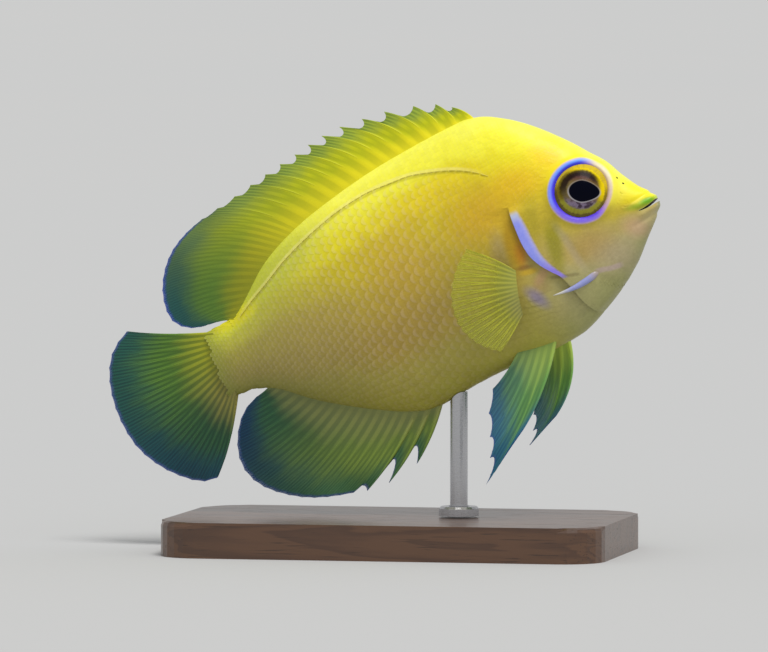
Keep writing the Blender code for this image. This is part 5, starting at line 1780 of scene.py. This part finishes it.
def make_rays(name, lines, tree, material, sides=6):
    points, radii, places, edges = [], [], [], []
    for line_points, line_radii, line_places in lines:
        first = len(points)
        points.extend(line_points)
        radii.extend(line_radii)
        places.extend(line_places)
        edges.extend((first + k, first + k + 1) for k in range(len(line_points) - 1))
    mesh = bpy.data.meshes.new(name)
    mesh.from_pydata([tuple(p) for p in on_stand(points)], edges, [])
    made = put_in_scene(name, mesh)
    mesh.materials.append(material)
    put_attribute(made, "thick", "FLOAT", np.array(radii) * MM)
    put_attribute(made, "ray_place", "FLOAT_VECTOR", places)
    modifier = made.modifiers.new("rays", "NODES")
    modifier.node_group = tree
    set_inputs(modifier, tree, {"Sides": sides, "Finish": material})
    take_result(made)
    made.data.shade_smooth()
    return made


def ride_and_say(made, slot, *nodes):
    """Bind a finished piece to the model and hide the CAD nodes it stands for."""
    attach(made, "root")
    if nodes:
        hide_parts(*nodes)


def make_fins(markings_with_shade, tree):
    """Membranes and rays of all seven fins."""
    fins = [
        ("dorsal", dorsal_fin()), ("anal", anal_fin()), ("tail", tail_fin()),
        ("pectoral_right", pectoral_fin(-1, PECTORAL_RIGHT_TIPS)),
        ("pectoral_left", pectoral_fin(1, PECTORAL_LEFT_TIPS)),
        ("pelvic_right", pelvic_fin(-1, BELLY_FIN_RIGHT_ROOT, BELLY_FIN_RIGHT_TIPS, BELLY_FIN_RIGHT_BOW)),
        ("pelvic_left", pelvic_fin(1, BELLY_FIN_LEFT_ROOT, BELLY_FIN_LEFT_TIPS, BELLY_FIN_LEFT_BOW)),
    ]
    finishes = {}
    for name, fin in fins:
        kind = name.split("_")[0]
        look = FIN_LOOKS[kind]
        palette = [paint(*tone) for tone in look["tones"]]
        finish = kind
        # Painted light: the left belly fin lies in shade, so it gets its own lighter copy of the belly fin's
        # colours
        if name == "pelvic_left":
            palette = [lighter(tone, PAINTED_LIGHT_ON_SHADED_FIN) for tone in palette]
            finish = name
        if finish not in finishes:
            count = len(fin.rays) - 1
            rim = (look["rim"], look["rim_from"])
            pale = [lighter(tone, look["ray_lift"]) for tone in palette]
            finishes[finish] = (
                fin_material(finish + "_web", markings_with_shade, palette, count, rim, look["tint"], look["clear_web"]),
                fin_material(finish + "_rays", markings_with_shade, pale, count, rim, 0.1, look["clear_rays"]))
        web, ray = finishes[finish]
        slot = "paired_fin" if "_" in name else "median_fin"
        node = name.replace(kind, kind + "_fin")
        ride_and_say(make_web(name + "_web", fin, web, look["columns"], look["root"]), slot, node)
        lines = ray_lines(fin, look["spine"], look["soft"])
        ride_and_say(make_rays(name + "_rays", lines, tree, ray), slot, node)


def lighter(colour, share):
    gains = ((0.35, 0.01), (0.32, 0.01), (0.15, 0.005))
    return (*(min(1.0, part * (1 + gain * share) + more) for part, (gain, more) in zip(colour, gains)), 1.0)


# Surroundings

FLOOR_RADIUS = 30
FLOOR_SIDES = 96
SKY_COLOUR = (0.985, 0.995, 1.0, 1.0)
SKY_STRENGTH = 0.6
KEY_POWER = 2.05
KEY_SPREAD = math.radians(25)
KEY_COLOUR = (1.0, 0.985, 0.955)
KEY_DIRECTION = (-0.25, 0.35, -0.9)


def make_floor():
    material, net, shader = new_material("studio_floor", 0.9, Specular_IOR_Level=0.0)
    coordinates = net.on_object()
    soft = net.noise(coordinates, 1.5, 2.0)
    net.feed(shader.inputs["Base Color"], net.mix(soft, paint(189, 190, 191), paint(191, 191, 191)))
    turns = [2 * math.pi * k / FLOOR_SIDES for k in range(FLOOR_SIDES)]
    points = [(FLOOR_RADIUS * math.cos(turn), FLOOR_RADIUS * math.sin(turn), 0.0) for turn in turns]
    floor = mesh_object("studio_floor", points, [tuple(range(FLOOR_SIDES))], material)


def make_surroundings():
    """Pale floor under an even sky of the floor's own tone, with one broad soft key from above."""
    make_floor()
    world = bpy.data.worlds.new("soft_room")
    bpy.context.scene.world = world
    world.use_nodes = True
    background = world.node_tree.nodes["Background"]
    background.inputs["Color"].default_value = SKY_COLOUR
    background.inputs["Strength"].default_value = SKY_STRENGTH
    data = bpy.data.lights.new("soft_key", "SUN")
    data.energy = KEY_POWER
    data.angle = KEY_SPREAD
    data.color = KEY_COLOUR
    key = put_in_scene("soft_key", data)
    key.rotation_euler = Vector(KEY_DIRECTION).to_track_quat("-Z", "Y").to_euler()


# Camera: the photograph's line of sight, and its middle in metres along and down from the snout
VIEW_TURN = math.radians(12)
VIEW_RISE = math.radians(3)
VIEW_DISTANCE = 1.6
FRAME_WIDTH = 0.1291
CENTRE_BACK = 0.0459
CENTRE_DOWN = 0.0207


def make_camera():
    toward = Vector((math.sin(VIEW_TURN) * math.cos(VIEW_RISE), -math.cos(VIEW_TURN) * math.cos(VIEW_RISE),
                     math.sin(VIEW_RISE)))
    right = Vector((math.cos(VIEW_TURN), math.sin(VIEW_TURN), 0.0))
    up = right.cross(-toward).normalized()
    snout = Vector((SNOUT_FORWARD, 0.0, SNOUT_HEIGHT)) * MM
    middle = snout - right * CENTRE_BACK - up * CENTRE_DOWN
    data = bpy.data.cameras.new("photo_view")
    data.sensor_width = 36.0
    data.lens = 36.0 * VIEW_DISTANCE / FRAME_WIDTH
    data.clip_start = 0.05
    data.clip_end = 40.0
    camera = put_in_scene("photo_view", data)
    camera.location = middle + toward * VIEW_DISTANCE
    camera.rotation_euler = (-toward).to_track_quat("-Z", "Y").to_euler()
    bpy.context.scene.camera = camera


def dress_node(frame, name, material):
    """Give a kept CAD node its finish."""
    node = frame["nodes"][name]
    node.data.materials.clear()
    node.data.materials.append(material)


def main():
    for thing in list(bpy.data.objects):
        bpy.data.objects.remove(thing, do_unlink=True)
    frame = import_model()
    bpy.context.scene.view_settings.view_transform = "Standard"
    markings_with_shade = markings_and_shade_group(patch_group())
    fins = fin_markings_and_shade_group()
    skin = make_skin(skin_material(markings_with_shade), mouth_material())
    ride_and_say(skin, "skin", "head", "trunk", "tail_stalk")
    eye_finish = eye_material()
    spine_finish = spine_material()
    broad_plate = scale_shape("broad_plate", BROAD_PLATE, 6)
    small_plate = scale_shape("small_plate", SMALL_PLATE, 4)
    tree = scale_tree()
    tubes = ray_tree()
    scale_finish = scale_material(markings_with_shade)
    line_finish = side_line_material()
    coats = [("scales_", "flank", broad_plate, ("trunk", "tail_stalk")),
             ("back_scales_", "back", small_plate, ("head", "trunk", "tail_stalk")),
             ("cheek_scales_", "cheek", small_plate, ("head",))]
    for side, word in ((-1, "right"), (1, "left")):
        ride_and_say(make_eye("eye_ball_" + word, side, eye_finish), "eye", "eye_" + word)
        ride_and_say(make_cheek_spine("cheek_spine_" + word, side, spine_finish), "skin", "head")
        for name, zone, plate, nodes in coats:
            ride_and_say(make_scales(name + word, side, zone, plate, tree, scale_finish), "skin", *nodes)
        line = make_rays("side_line_" + word, side_line_tubes(side), tubes, line_finish)
        ride_and_say(line, "skin", "trunk", "tail_stalk")
    bpy.data.objects.remove(broad_plate, do_unlink=True)
    bpy.data.objects.remove(small_plate, do_unlink=True)
    make_fins(fins, tubes)
    dress_node(frame, "stand_base", wood_material())
    steel = steel_material()
    dress_node(frame, "stand_rod", steel)
    dress_node(frame, "stand_collar", steel)
    make_surroundings()
    make_camera()


main()
